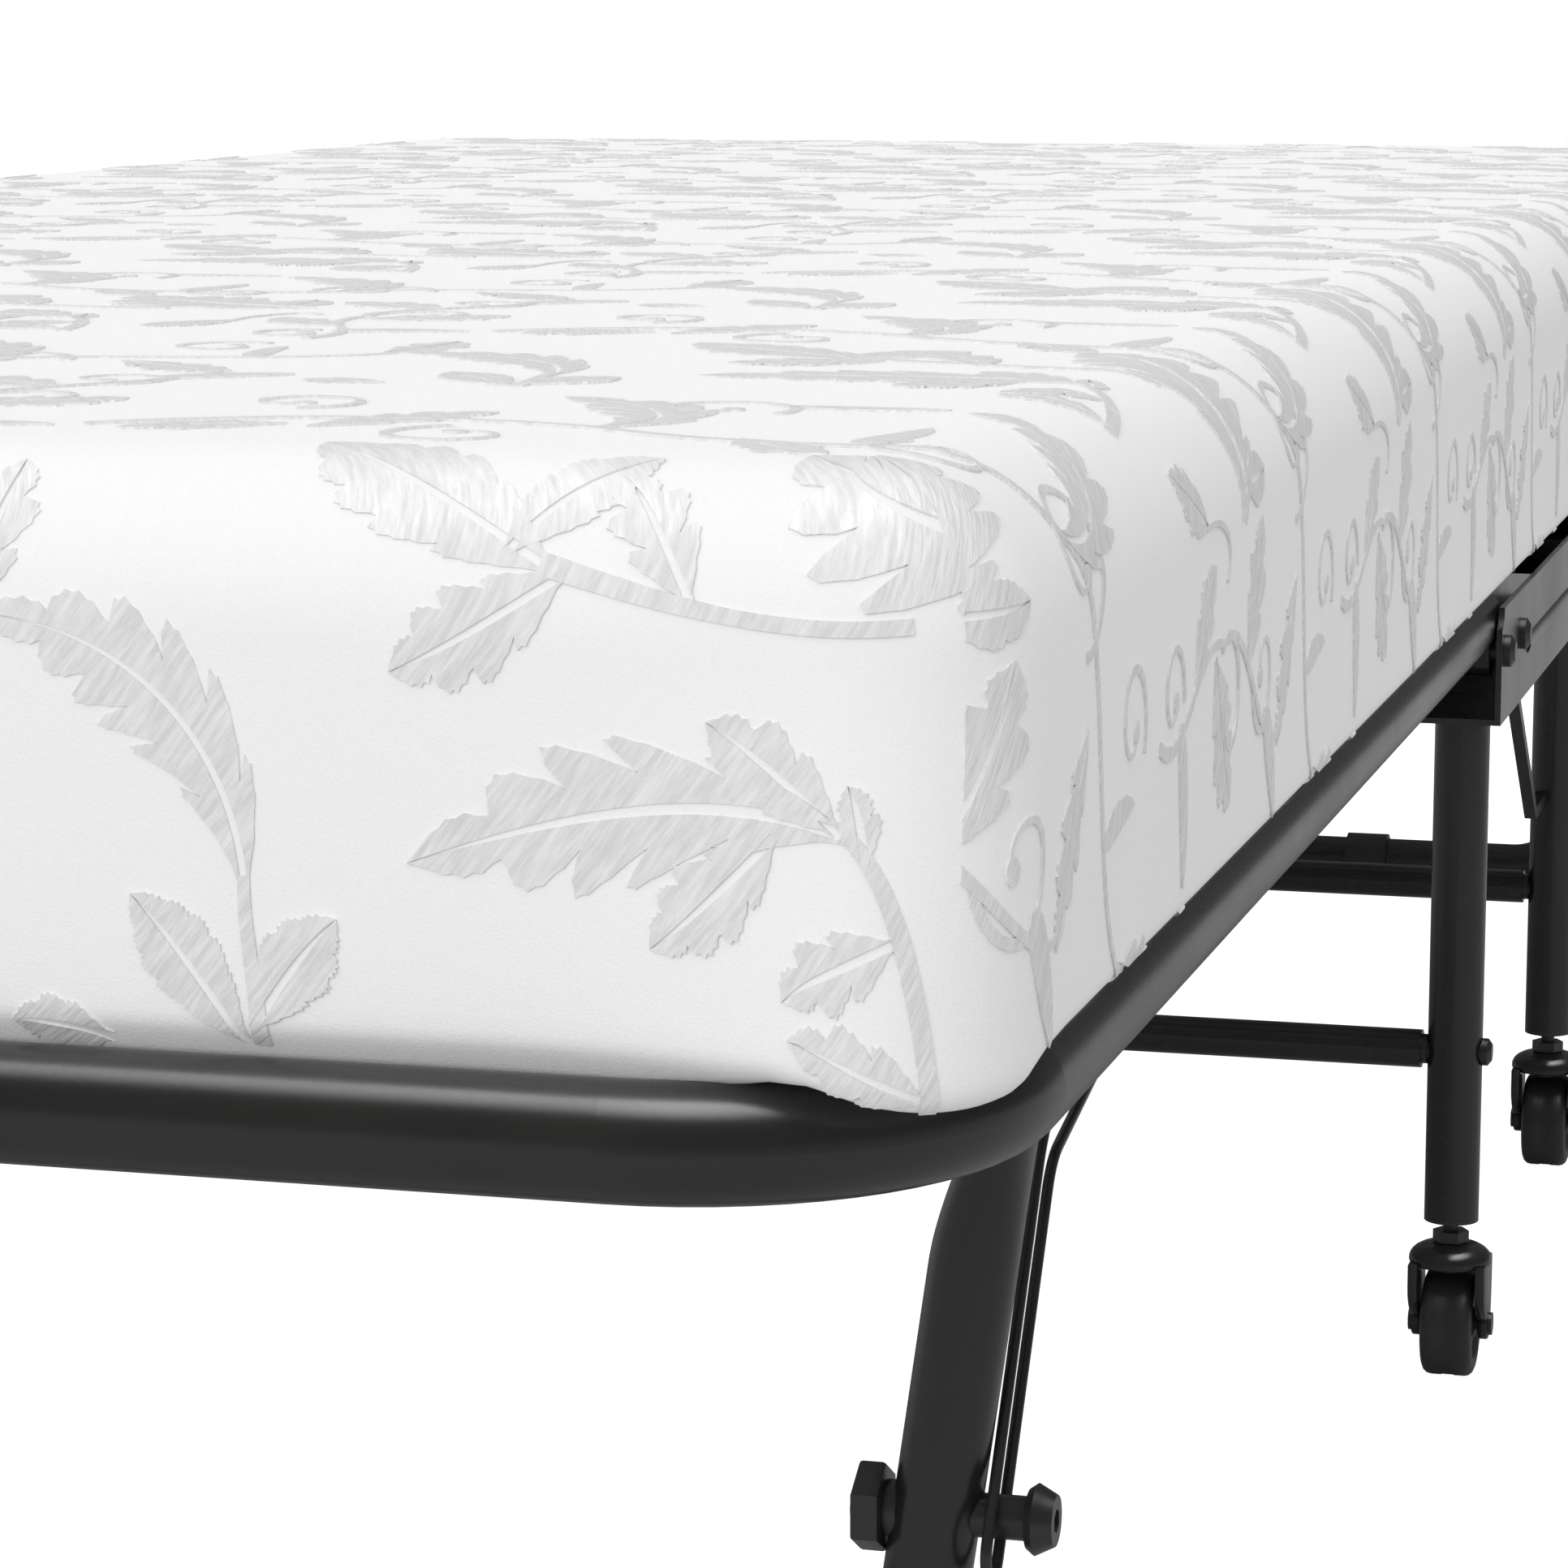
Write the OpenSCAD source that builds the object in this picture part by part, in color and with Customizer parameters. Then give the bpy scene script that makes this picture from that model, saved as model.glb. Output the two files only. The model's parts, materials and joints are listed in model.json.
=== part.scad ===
// Folding rollaway bed: a centre section on casters, two end frames that fold
// up, a U-shaped leg under each end frame, and a foam mattress on top.
// Origin: on the floor under the middle of the bed. X is its width, Y its
// length and Z is up. The foot end lies towards -Y, the right side towards +X.

/* [Bed] */
// Distance between the axes of the two side rails
frame_w = 761; // [700:1:900]
// Distance between the axes of the two end tubes
frame_l = 1915; // [1900:1:1990]
// Height of the rail axis above the floor
rail_z = 269; // [265:1:290]
// Outer diameter of the frame tube
tube_d = 24; // [22:0.5:25]
// Radius of the frame's corners, along the tube axis
corner_r = 63; // [50:1:90]

/* [Centre section] */
// Length of the two side channels
channel_l = 350; // [340:2:370]
// Height of the side channels
channel_h = 40; // [38:1:44]
// Sheet thickness of the side channels
channel_t = 2; // [1.5:0.1:2.5]
// Distance of the wheeled legs from the middle of the bed
leg_y = 159; // [150:1:165]
// Outer diameter of the wheeled legs
leg_d = 19; // [18:0.5:22]
// Height of the lower end of the wheeled legs
leg_bottom = 58.5; // [58.5:0.5:60]
// Height of the cross bars between the wheeled legs
bar_z = 118; // [100:1:140]
// Diameter of the cross bars
bar_d = 13.4; // [12:0.1:16]
// Distance of the fold hinges from the middle of the bed
hinge_y = 164; // [160:1:166]
// Height of the fold hinges
hinge_z = 260; // [259:0.5:261]
// Distance of the channel spacers from the middle of the bed
spacer_y = 117; // [110:1:125]

/* [End legs] */
// Distance of the end legs from the middle of the bed
u_leg_y = 800; // [760:1:820]
// Outer diameter of the end legs
u_leg_d = 20; // [18:0.5:21]
// Height of the bolt that an end leg swings on
post_z = 149; // [147:1:152]
// Half length of the foot bar's straight part
bend_x = 294; // [294:0.5:295]
// Outward lean of the uprights
lean = 8; // [7.5:0.1:8.2]
// Bend radius at the foot of the uprights
foot_bend_r = 36; // [30:1:40]
// Slope of the hanger rods beside the bolt
hanger_slope = 55; // [53:1:57]
// Slope of the hanger rods along the rail
hanger_rise = 11; // [10:0.5:12]
// Thickness of the hanger rods, which are square
rod_d = 2.4; // [2:0.1:2.6]

/* [Casters] */
// Diameter of the wheels
wheel_d = 38; // [36:0.5:38]
// Width of the wheels
wheel_w = 18; // [16:0.5:18]
// How far a wheel's axle stands off its swivel axis
trail = 5; // [4:0.5:6]

/* [Deck] */
// Diameter of the deck's cross tubes
deck_tube_d = 16; // [14:0.5:16]
// Diameter of the deck's lengthwise wires
wire_d = 3.5; // [3:0.1:3.5]
// Distance between the wires
wire_pitch = 68; // [60:1:70]

/* [Mattress] */
// Width of the mattress
mattress_w = 787; // [760:1:800]
// Length of the mattress
mattress_l = 1910; // [1890:1:1930]
// Thickness of the mattress
mattress_h = 115; // [100:1:120]
// Radius of the mattress's upright corners
mattress_r = 30; // [20:1:60]

/* [Hidden] */
$fn = 48;

paint = "#2b2a2a";
bolt_black = "#242424";
wheel_black = "#1f1f20";
ticking = "#f4f4f4";

tube_wall = 1.5;
rail_x = frame_w / 2;
end_y = frame_l / 2;
rail_end_y = 150;

// side channel: an open-topped trough around the rail ends
channel_gap = 25.4;
channel_top = 275.5;
channel_bottom = channel_top - channel_h;
channel_out = rail_x + channel_gap / 2 + channel_t;
channel_in = rail_x - channel_gap / 2 - channel_t;
bead_z = channel_bottom + 18;
bead_l = 2 * (spacer_y - 22);
bolt_r = 4;
bolt_fit = 0.05;
bolt_head_r = 5.5;
bolt_head_h = 3.5;
nut_af = 13;
nut_h = 5;
spacer_r = 7;
hex = 2 / sqrt(3);

lug_r = 9;
lug_w = 20;
stem_plug_r = leg_d / 2 - tube_wall;

// deck: cross tubes between the rails, with wires lying on them
wire_z = rail_z + deck_tube_d / 2 + wire_d / 2;
wires_each_side = 5;
deck_tube_y = [215, 375, 535, 700, 860];
centre_tube_y = [-85, 0, 85];
wire_clear = 22;

// mattress, with a notch of 45 degree sides above each hinge for the fold
mattress_z = 281.5;
notch_gap = 0.6;

// end leg
foot_z = u_leg_d / 2 + 1.5;
bend_top = foot_z + foot_bend_r * (1 - sin(lean));
post_x = bend_x + foot_bend_r * cos(lean) + (post_z - bend_top) * tan(lean);
post_rise = (post_z - bend_top) / cos(lean);
upright_l = 154;
tab_t = 5;
tab_x = 360.5;
tab_r = 13;
tab_top = 249;
tab_low = 226;
post_head_x = 365.7;
sleeve_r = 5;
leg_nut_af = 18;
leg_nut_h = 6.5;
glide_x = 214.7;
glide_w = 22;
glide_r = 12.5;

// hanger rods: a hairpin round the sleeve, bent over to run along the rail
hanger_x = 358.4;
rod_off = sleeve_r + rod_d / 2 + 0.4;
rod_tail = 8;
rod_bend_r = 25;
rod_knee = 90.5;
rod_turn = hanger_slope - hanger_rise;
rod_end_y = 585;
knee_y = -u_leg_y + rod_knee * cos(hanger_slope);
rod_tangent = rod_bend_r * tan(rod_turn / 2);
rod_straight = rod_knee + rod_tail - rod_tangent;
rod_run = (-rod_end_y - knee_y) / cos(hanger_rise) - rod_tangent;
plate_t = 3;
plate_y = [580, 652];
plate_z = [234, 278];
hanger_bolt_y = [596, 640];
hanger_bolt_r = 3;

// caster, measured up from the floor
wheel_r = wheel_d / 2;
axle_r = 2.5;
cheek_in = 10;
cheek_out = 13.5;
crown_low = 41.5;
crown_top = 46;
dome_top = 49.3;
fork_front = 12;
crown_r = 14.5;
stem_r = 2.65;
stem_fit = 0.07;

module at_end(end) {
    if (end > 0) mirror([0, 1, 0]) children();
    else children();
}

module both_sides() {
    children();
    mirror([1, 0, 0]) children();
}

module four_ways() {
    both_sides() {
        children();
        mirror([0, 1, 0]) children();
    }
}

// a rod along X from x1 to x2
module rod_x(r, x1, x2, y, z, sides = 48) {
    translate([x1, y, z]) rotate([0, 90, 0]) cylinder(r = r, h = x2 - x1, $fn = sides);
}

// a rod along Y from y1 to y2
module rod_y(r, y1, y2, x, z) {
    translate([x, y1, z]) rotate([-90, 0, 0]) cylinder(r = r, h = y2 - y1);
}

// an outline in the YZ plane, given as (y, z), made thick from x1 to x2
module slab_x(x1, x2) {
    translate([x1, 0, 0]) rotate([90, 0, 90]) linear_extrude(x2 - x1) children();
}

// ---- centre section ----

module side_channel() {
    color(paint) difference() {
        union() {
            translate([channel_in, -channel_l / 2, channel_bottom])
                cube([channel_out - channel_in, channel_l, channel_h]);
            intersection() {
                rod_y(6, -bead_l / 2, bead_l / 2, channel_out - 4.8, bead_z);
                translate([channel_out - 1, -bead_l / 2, bead_z - 6]) cube([4, bead_l, 12]);
            }
        }
        translate([channel_in + channel_t, -channel_l / 2 - 1, channel_bottom + channel_t])
            cube([channel_gap, channel_l + 2, channel_h]);
        for (end = [-1, 1]) {
            rod_x(bolt_r + bolt_fit, channel_in - 1, channel_out + 1, end * hinge_y, hinge_z);
            rod_x(bolt_r + bolt_fit, channel_in - 1, channel_out + 1, end * spacer_y, hinge_z);
            rod_x(7, channel_out - channel_t - 1, channel_out + 1, end * (channel_l / 2 + 1), channel_top);
        }
    }
}

module channel_bolt(y) {
    rod_x(bolt_r, channel_in - nut_h - 1, channel_out + 1, y, hinge_z);
    rod_x(bolt_head_r, channel_out, channel_out + 2, y, hinge_z);
    translate([channel_out + 2, y, hinge_z]) rotate([0, 90, 0])
        cylinder(r1 = bolt_head_r, r2 = bolt_head_r - 2.2, h = bolt_head_h - 2);
}

module channel_bolts() {
    color(bolt_black) four_ways() {
        channel_bolt(-hinge_y);
        channel_bolt(-spacer_y);
    }
}

module channel_nuts() {
    color(bolt_black) four_ways() for (y = [-hinge_y, -spacer_y]) difference() {
        rod_x(nut_af / 2 * hex, channel_in - nut_h, channel_in, y, hinge_z, 6);
        rod_x(bolt_r, channel_in - nut_h - 1, channel_in + 1, y, hinge_z);
    }
}

module channel_spacers() {
    color(paint) four_ways() difference() {
        rod_x(spacer_r, channel_in + channel_t, channel_out - channel_t, -spacer_y, hinge_z);
        rod_x(bolt_r, channel_in, channel_out, -spacer_y, hinge_z);
    }
}

module wheeled_legs() {
    color(paint) for (end = [-1, 1]) difference() {
        translate([rail_x, end * leg_y, leg_bottom])
            cylinder(r = leg_d / 2, h = channel_bottom - leg_bottom);
        translate([rail_x, end * leg_y, leg_bottom - 1])
            cylinder(r = stem_plug_r, h = channel_bottom - leg_bottom + 2);
        rod_x(bolt_r, rail_x - leg_d, rail_x + leg_d, end * leg_y, bar_z);
    }
}

bar_end = rail_x - leg_d / 2 - 2;

module cross_bar(end) {
    color(paint) difference() {
        rod_x(bar_d / 2, -bar_end, bar_end, end * leg_y, bar_z);
        rod_x(bolt_r, -bar_end - 1, bar_end + 1, end * leg_y, bar_z);
    }
}

module cross_bar_bolts() {
    leg_out = rail_x + leg_d / 2;
    color(bolt_black) four_ways() {
        rod_x(bolt_r, bar_end - 30, leg_out + 1, -leg_y, bar_z);
        rod_x(4.8, leg_out, leg_out + 2, -leg_y, bar_z);
        translate([leg_out + 2, -leg_y, bar_z]) rotate([0, 90, 0]) cylinder(r1 = 4.8, r2 = 3, h = 1.4);
        rod_x(bar_d / 2 - 1.5, bar_end, bar_end + 2, -leg_y, bar_z);
    }
}

// a thin rod from the channel's underside down and across to one leg
stay_d = 4.6;
stay_top = [11, channel_bottom];
stay_low = [112, 157];
stay_in = 4.5;

module stay() {
    half = stay_d / 2;
    drop = stay_top[1] - stay_low[1];
    reach = stay_low[0] - stay_top[0];
    wide = half * norm([drop, reach]) / drop;
    mitre = half * tan(atan(drop / reach) / 2);
    color(paint) difference() {
        slab_x(rail_x - stay_in - half, rail_x - stay_in + half) polygon([
            [stay_top[0] - wide, stay_top[1]], [stay_low[0] - mitre, stay_low[1] - half],
            [leg_y, stay_low[1] - half], [leg_y, stay_low[1] + half],
            [stay_low[0] + mitre, stay_low[1] + half], [stay_top[0] + wide, stay_top[1]]
        ]);
        translate([rail_x, leg_y, 100]) cylinder(r = leg_d / 2, h = 100);
    }
}

module caster_stems() {
    color(bolt_black) four_ways() translate([rail_x, -leg_y, 0]) {
        cylinder_at(stem_plug_r, leg_bottom, leg_bottom + 20);
        cylinder_at(leg_d / 2, leg_bottom - 1.2, leg_bottom);
        translate([0, 0, leg_bottom - 2.6]) cylinder(r1 = 4, r2 = leg_d / 2, h = 1.4);
        cylinder_at(stem_r, crown_low - 1, leg_bottom - 1);
        translate([0, 0, dome_top + 0.4]) cylinder(r = 5.5 * hex, h = 3.8, $fn = 6);
        cylinder_at(5, wheel_d + 1, crown_low - 0.3);
    }
}

module cylinder_at(r, z1, z2) {
    translate([0, 0, z1]) cylinder(r = r, h = z2 - z1);
}

// ---- deck ----

module deck_tubes(places, half) {
    color(paint) for (y = places) difference() {
        rod_x(deck_tube_d / 2, -half, half, y, rail_z);
        rod_x(deck_tube_d / 2 - 1.2, -half - 1, half + 1, y, rail_z);
        if (half > channel_in) both_sides() rod_y(tube_d / 2, y - 20, y + 20, rail_x, rail_z);
    }
}

module deck_wires(y1, y2) {
    color(paint) for (i = [-wires_each_side : wires_each_side])
        rod_y(wire_d / 2, y1, y2, i * wire_pitch, wire_z);
}

module deck_tubes_end(end) {
    at_end(end) deck_tubes([for (y = deck_tube_y) -y], rail_x - 2);
}

module deck_wires_end(end) {
    at_end(end) deck_wires(-deck_tube_y[4] - 12, -hinge_y - wire_clear);
}

// ---- end frame ----

module frame_path(r, past) {
    both_sides() {
        rod_y(r, -end_y + corner_r, -rail_end_y + past, rail_x, rail_z);
        translate([rail_x - corner_r, -end_y + corner_r, rail_z]) rotate([0, 0, -90])
            rotate_extrude(angle = 90) translate([corner_r, 0]) circle(r = r);
    }
    rod_x(r, corner_r - rail_x, rail_x - corner_r, -end_y, rail_z);
}

module frame_tube(end) {
    color(paint) at_end(end) difference() {
        frame_path(tube_d / 2, 0);
        frame_path(tube_d / 2 - tube_wall, 1);
        both_sides() rod_x(bolt_r + bolt_fit, rail_x - 20, rail_x + 20, -hinge_y, hinge_z);
    }
}

module hinge_lugs(end) {
    color(paint) at_end(end) both_sides() difference() {
        slab_x(rail_x - lug_w / 2, rail_x + lug_w / 2) union() {
            translate([-hinge_y, hinge_z]) circle(r = lug_r);
            translate([-hinge_y - lug_r, hinge_z]) square([2 * lug_r, rail_z - hinge_z]);
        }
        rod_y(tube_d / 2, -hinge_y - 2 * lug_r, -hinge_y + 2 * lug_r, rail_x, rail_z);
        rod_x(bolt_r + bolt_fit, rail_x - lug_w, rail_x + lug_w, -hinge_y, hinge_z);
    }
}

// the hairpin's centre line from end to end, each point with its outward direction;
// origin at the middle of the loop, the strands along local X
rod_centre = [rod_straight, -rod_bend_r];
bend_steps = [0 : rod_turn / 6 : rod_turn + 0.01];
upper_r = rod_bend_r + rod_off;
lower_r = rod_bend_r - rod_off;
run_step = rod_run * [cos(rod_turn), -sin(rod_turn)];
upper_bend = [for (t = bend_steps) [rod_centre + upper_r * [sin(t), cos(t)], 90 - t]];
lower_bend = [for (t = bend_steps) [rod_centre + lower_r * [sin(t), cos(t)], 270 - t]];
rod_line = concat(
    [[upper_bend[6][0] + run_step, upper_bend[6][1]]],
    [for (i = [6 : -1 : 0]) upper_bend[i]],
    [for (a = [90 : 7.5 : 270]) [rod_off * [cos(a), sin(a)], a]],
    lower_bend,
    [[lower_bend[6][0] + run_step, lower_bend[6][1]]]
);

function beside_line(offset) = [for (q = rod_line) q[0] + offset * [cos(q[1]), sin(q[1])]];

module hanger_rod() {
    outer = beside_line(rod_d / 2);
    inner = beside_line(-rod_d / 2);
    slab_x(hanger_x - rod_d / 2, hanger_x + rod_d / 2) translate([-u_leg_y, post_z])
        rotate(hanger_slope) translate([-rod_tail, 0])
            polygon(concat(outer, [for (i = [len(inner) - 1 : -1 : 0]) inner[i]]));
}

module hanger_rods(end) {
    color(bolt_black) at_end(end) both_sides() hanger_rod();
}

plate_x = hanger_x + rod_d / 2;

// each plate stands off the rail on two bushes that are part of it
module hanger_plates(end) {
    color(paint) at_end(end) both_sides() difference() {
        union() {
            translate([plate_x, -plate_y[1], plate_z[0]])
                cube([plate_t, plate_y[1] - plate_y[0], plate_z[1] - plate_z[0]]);
            for (y = hanger_bolt_y) rod_x(6, plate_x, rail_x - 8, -y, rail_z);
        }
        for (y = hanger_bolt_y) rod_x(hanger_bolt_r, plate_x - 1, rail_x, -y, rail_z);
        rod_y(tube_d / 2, -plate_y[1] - 1, -plate_y[0] + 1, rail_x, rail_z);
    }
}

module hanger_bolts(end) {
    color(bolt_black) at_end(end) both_sides() for (y = hanger_bolt_y) {
        difference() {
            rod_x(hanger_bolt_r, plate_x - 1, rail_x, -y, rail_z);
            rod_y(tube_d / 2, -y - 10, -y + 10, rail_x, rail_z);
        }
        rod_x(5 * hex, plate_x - 4, plate_x, -y, rail_z, 6);
    }
}

// the block that an end leg's flattened top bears against
module leg_stops(end) {
    stop_x = [tab_x - 2, rail_x - 11];
    color(paint) at_end(end) both_sides() difference() {
        union() {
            translate([stop_x[0], -u_leg_y - tab_r - 2, tab_top + 0.5])
                cube([stop_x[1] - stop_x[0], 2 * tab_r + 8, 24]);
            translate([stop_x[0], -u_leg_y + tab_r + 0.6, tab_top - 8])
                cube([8, 5.4, 12]);
        }
        rod_y(tube_d / 2, -u_leg_y - 40, -u_leg_y + 40, rail_x, rail_z);
    }
}

// ---- end leg ----

module leg_path(r) {
    rod_x(r, -bend_x, bend_x, -u_leg_y, foot_z);
    both_sides() translate([bend_x, -u_leg_y, foot_z + foot_bend_r]) {
        rotate([90, 0, 0]) rotate([0, 0, -90])
            rotate_extrude(angle = 90 - lean) translate([foot_bend_r, 0]) circle(r = r);
        rotate([0, lean, 0]) translate([foot_bend_r, 0, 0]) cylinder(r = r, h = upright_l);
    }
}

// a stretch of an upright's axis, from distance a to distance b above the bend
module upright(r, a, b) {
    translate([bend_x, -u_leg_y, foot_z + foot_bend_r]) rotate([0, lean, 0])
        translate([foot_bend_r, 0, a]) cylinder(r = r, h = b - a);
}

module u_leg(end) {
    color(paint) at_end(end) difference() {
        leg_path(u_leg_d / 2);
        leg_path(u_leg_d / 2 - tube_wall);
        both_sides() rod_x(bolt_r, post_x - 20, post_x + 20, -u_leg_y, post_z);
    }
}

// the uprights' upper ends, pressed flat; each stands on its upright
module leg_tops(end) {
    color(paint) at_end(end) both_sides() union() {
        hull() {
            upright(u_leg_d / 2, upright_l, upright_l + 1, $fn = 32);
            translate([tab_x, -u_leg_y - tab_r, tab_low]) cube([tab_t, 2 * tab_r, 1]);
        }
        slab_x(tab_x, tab_x + tab_t) union() {
            translate([-u_leg_y, tab_top - tab_r]) circle(r = tab_r);
            translate([-u_leg_y - tab_r, tab_low]) square([2 * tab_r, tab_top - tab_r - tab_low]);
        }
    }
}

module leg_bolts(end) {
    color(bolt_black) at_end(end) both_sides() translate([0, -u_leg_y, post_z]) rotate([0, 90, 0])
        difference() {
            union() {
                translate([0, 0, post_x - 19]) cylinder(r = bolt_r, h = post_head_x - post_x + 20);
                translate([0, 0, post_head_x]) cylinder(r1 = 6.8, r2 = 8.1, h = 1.8);
                translate([0, 0, post_head_x + 1.8]) cylinder(r1 = 8.1, r2 = 5.8, h = 4.4);
            }
            translate([0, 0, post_head_x + 3.2]) cylinder(r = 2.9, h = 4, $fn = 6);
        }
}

module leg_sleeves(end) {
    color(bolt_black) at_end(end) both_sides() difference() {
        rod_x(sleeve_r, post_x + 4, post_head_x, -u_leg_y, post_z);
        rod_x(bolt_r, post_x, post_head_x + 1, -u_leg_y, post_z);
        upright(u_leg_d / 2, post_rise - 30, post_rise + 30);
    }
}

module leg_nuts(end) {
    nut_x = post_x - u_leg_d / 2 - 1.4;
    color(bolt_black) at_end(end) both_sides() difference() {
        union() {
            rod_x(leg_nut_af / 2 * hex, nut_x - leg_nut_h, nut_x, -u_leg_y, post_z, 6);
            rod_x(6, nut_x - 1, nut_x + 5, -u_leg_y, post_z);
        }
        rod_x(bolt_r, nut_x - leg_nut_h - 1, nut_x + 9, -u_leg_y, post_z);
        upright(u_leg_d / 2, post_rise - 30, post_rise + 30);
    }
}

module leg_glides(end) {
    color(wheel_black) at_end(end) both_sides() difference() {
        rod_x(glide_r, glide_x - glide_w / 2, glide_x + glide_w / 2, -u_leg_y, foot_z);
        rod_x(u_leg_d / 2, glide_x - glide_w, glide_x + glide_w, -u_leg_y, foot_z);
        translate([glide_x - glide_w, -u_leg_y - 20, -10]) cube([2 * glide_w, 40, 10]);
    }
}

// ---- casters; side is 1 on the right, end is 1 at the head ----

module at_caster(side, end) {
    translate([side * rail_x, end * leg_y, 0]) children();
}

module caster_fork(side, end) {
    color(wheel_black) at_caster(side, end) difference() {
        union() {
            rotate_extrude() polygon([
                [0, crown_low], [crown_r, crown_low], [crown_r, crown_top - 1],
                [crown_r - 3, crown_top + 1.2], [crown_r - 7, dome_top], [0, dome_top]
            ]);
            for (x = [-cheek_out, cheek_in]) slab_x(x, x + cheek_out - cheek_in) fork_outline();
        }
        cylinder_at(stem_r + stem_fit, crown_low - 1, dome_top + 1);
        rod_x(axle_r, -cheek_out - 1, cheek_out + 1, trail, wheel_r);
    }
}

module fork_outline() {
    union() {
        polygon([
            [-fork_front, crown_low + 2], [-fork_front, 29.6], [trail - 4, wheel_r],
            [trail + 4, wheel_r], [fork_front, 29.6], [fork_front, crown_low + 2]
        ]);
        translate([trail, wheel_r]) circle(r = 5.5);
    }
}

module caster_axle(side, end) {
    color(bolt_black) at_caster(side, end) {
        rod_x(axle_r, -cheek_out - 1, cheek_out + 1, trail, wheel_r);
        rod_x(4, -cheek_out - 1.2, -cheek_out, trail, wheel_r);
        rod_x(4, cheek_out, cheek_out + 1.2, trail, wheel_r);
    }
}

module caster_wheel(side, end) {
    half = wheel_w / 2;
    color(wheel_black) at_caster(side, end) translate([0, trail, wheel_r]) rotate([0, 90, 0])
        rotate_extrude($fn = 64) polygon([
            [axle_r + 0.06, -half], [5, -half], [5.5, 1.5 - half], [11.5, 1.5 - half], [13, -half],
            [wheel_r - 1.5, -half], [wheel_r, 1.5 - half], [wheel_r, half - 1.5], [wheel_r - 1.5, half],
            [13, half], [11.5, half - 1.5], [5.5, half - 1.5], [5, half], [axle_r + 0.06, half]
        ]);
}

// ---- mattress ----

// the whole mattress as one block with round upright corners
module mattress_block() {
    corner_x = mattress_w / 2 - mattress_r;
    corner_y = mattress_l / 2 - mattress_r;
    translate([0, 0, mattress_z]) linear_extrude(mattress_h) union() {
        square([2 * corner_x, mattress_l], center = true);
        square([mattress_w, 2 * corner_y], center = true);
        for (x = [-corner_x, corner_x], y = [-corner_y, corner_y]) translate([x, y]) circle(r = mattress_r);
    }
}

mattress_low = mattress_z - hinge_z;
mattress_high = mattress_low + mattress_h;

module mattress_centre() {
    low = hinge_y - mattress_low - notch_gap;
    high = hinge_y - mattress_high - notch_gap;
    color(ticking) slab_x(-mattress_w / 2, mattress_w / 2) polygon([
        [-low, mattress_z], [low, mattress_z], [high, mattress_z + mattress_h], [-high, mattress_z + mattress_h]
    ]);
}

module mattress_end(end) {
    low = hinge_y + mattress_low + notch_gap;
    high = hinge_y + mattress_high + notch_gap;
    color(ticking) at_end(end) intersection() {
        mattress_block();
        slab_x(-mattress_w, mattress_w) polygon([
            [-mattress_l, mattress_z - 1], [1 - low, mattress_z - 1],
            [-high - 1, mattress_z + mattress_h + 1], [-mattress_l, mattress_z + mattress_h + 1]
        ]);
    }
}

side_channel();  // side_channel_right
mirror([1, 0, 0]) side_channel();  // side_channel_left
channel_bolts();
channel_nuts();
channel_spacers();
wheeled_legs();  // wheeled_legs_right
mirror([1, 0, 0]) wheeled_legs();  // wheeled_legs_left
cross_bar(-1);  // cross_bar_foot
cross_bar(1);  // cross_bar_head
cross_bar_bolts();
stay();  // stay_right
rotate([0, 0, 180]) stay();  // stay_left
caster_stems();
deck_tubes(centre_tube_y, channel_in);  // deck_tubes_centre
deck_wires(wire_clear - hinge_y, hinge_y - wire_clear);  // deck_wires_centre
mattress_centre();
frame_tube(-1);  // frame_tube_foot
hinge_lugs(-1);  // hinge_lugs_foot
deck_tubes_end(-1);  // deck_tubes_foot
deck_wires_end(-1);  // deck_wires_foot
hanger_rods(-1);  // hanger_rods_foot
hanger_plates(-1);  // hanger_plates_foot
hanger_bolts(-1);  // hanger_bolts_foot
leg_stops(-1);  // leg_stops_foot
mattress_end(-1);  // mattress_foot
frame_tube(1);  // frame_tube_head
hinge_lugs(1);  // hinge_lugs_head
deck_tubes_end(1);  // deck_tubes_head
deck_wires_end(1);  // deck_wires_head
hanger_rods(1);  // hanger_rods_head
hanger_plates(1);  // hanger_plates_head
hanger_bolts(1);  // hanger_bolts_head
leg_stops(1);  // leg_stops_head
mattress_end(1);  // mattress_head
u_leg(-1);  // u_leg_foot
leg_tops(-1);  // leg_tops_foot
leg_bolts(-1);  // leg_bolts_foot
leg_sleeves(-1);  // leg_sleeves_foot
leg_nuts(-1);  // leg_nuts_foot
leg_glides(-1);  // leg_glides_foot
u_leg(1);  // u_leg_head
leg_tops(1);  // leg_tops_head
leg_bolts(1);  // leg_bolts_head
leg_sleeves(1);  // leg_sleeves_head
leg_nuts(1);  // leg_nuts_head
leg_glides(1);  // leg_glides_head
caster_fork(1, -1);  // caster_fork_foot_right
caster_axle(1, -1);  // caster_axle_foot_right
caster_wheel(1, -1);  // caster_wheel_foot_right
caster_fork(-1, -1);  // caster_fork_foot_left
caster_axle(-1, -1);  // caster_axle_foot_left
caster_wheel(-1, -1);  // caster_wheel_foot_left
caster_fork(1, 1);  // caster_fork_head_right
caster_axle(1, 1);  // caster_axle_head_right
caster_wheel(1, 1);  // caster_wheel_head_right
caster_fork(-1, 1);  // caster_fork_head_left
caster_axle(-1, 1);  // caster_axle_head_left
caster_wheel(-1, 1);  // caster_wheel_head_left
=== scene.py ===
import json
import math

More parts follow.
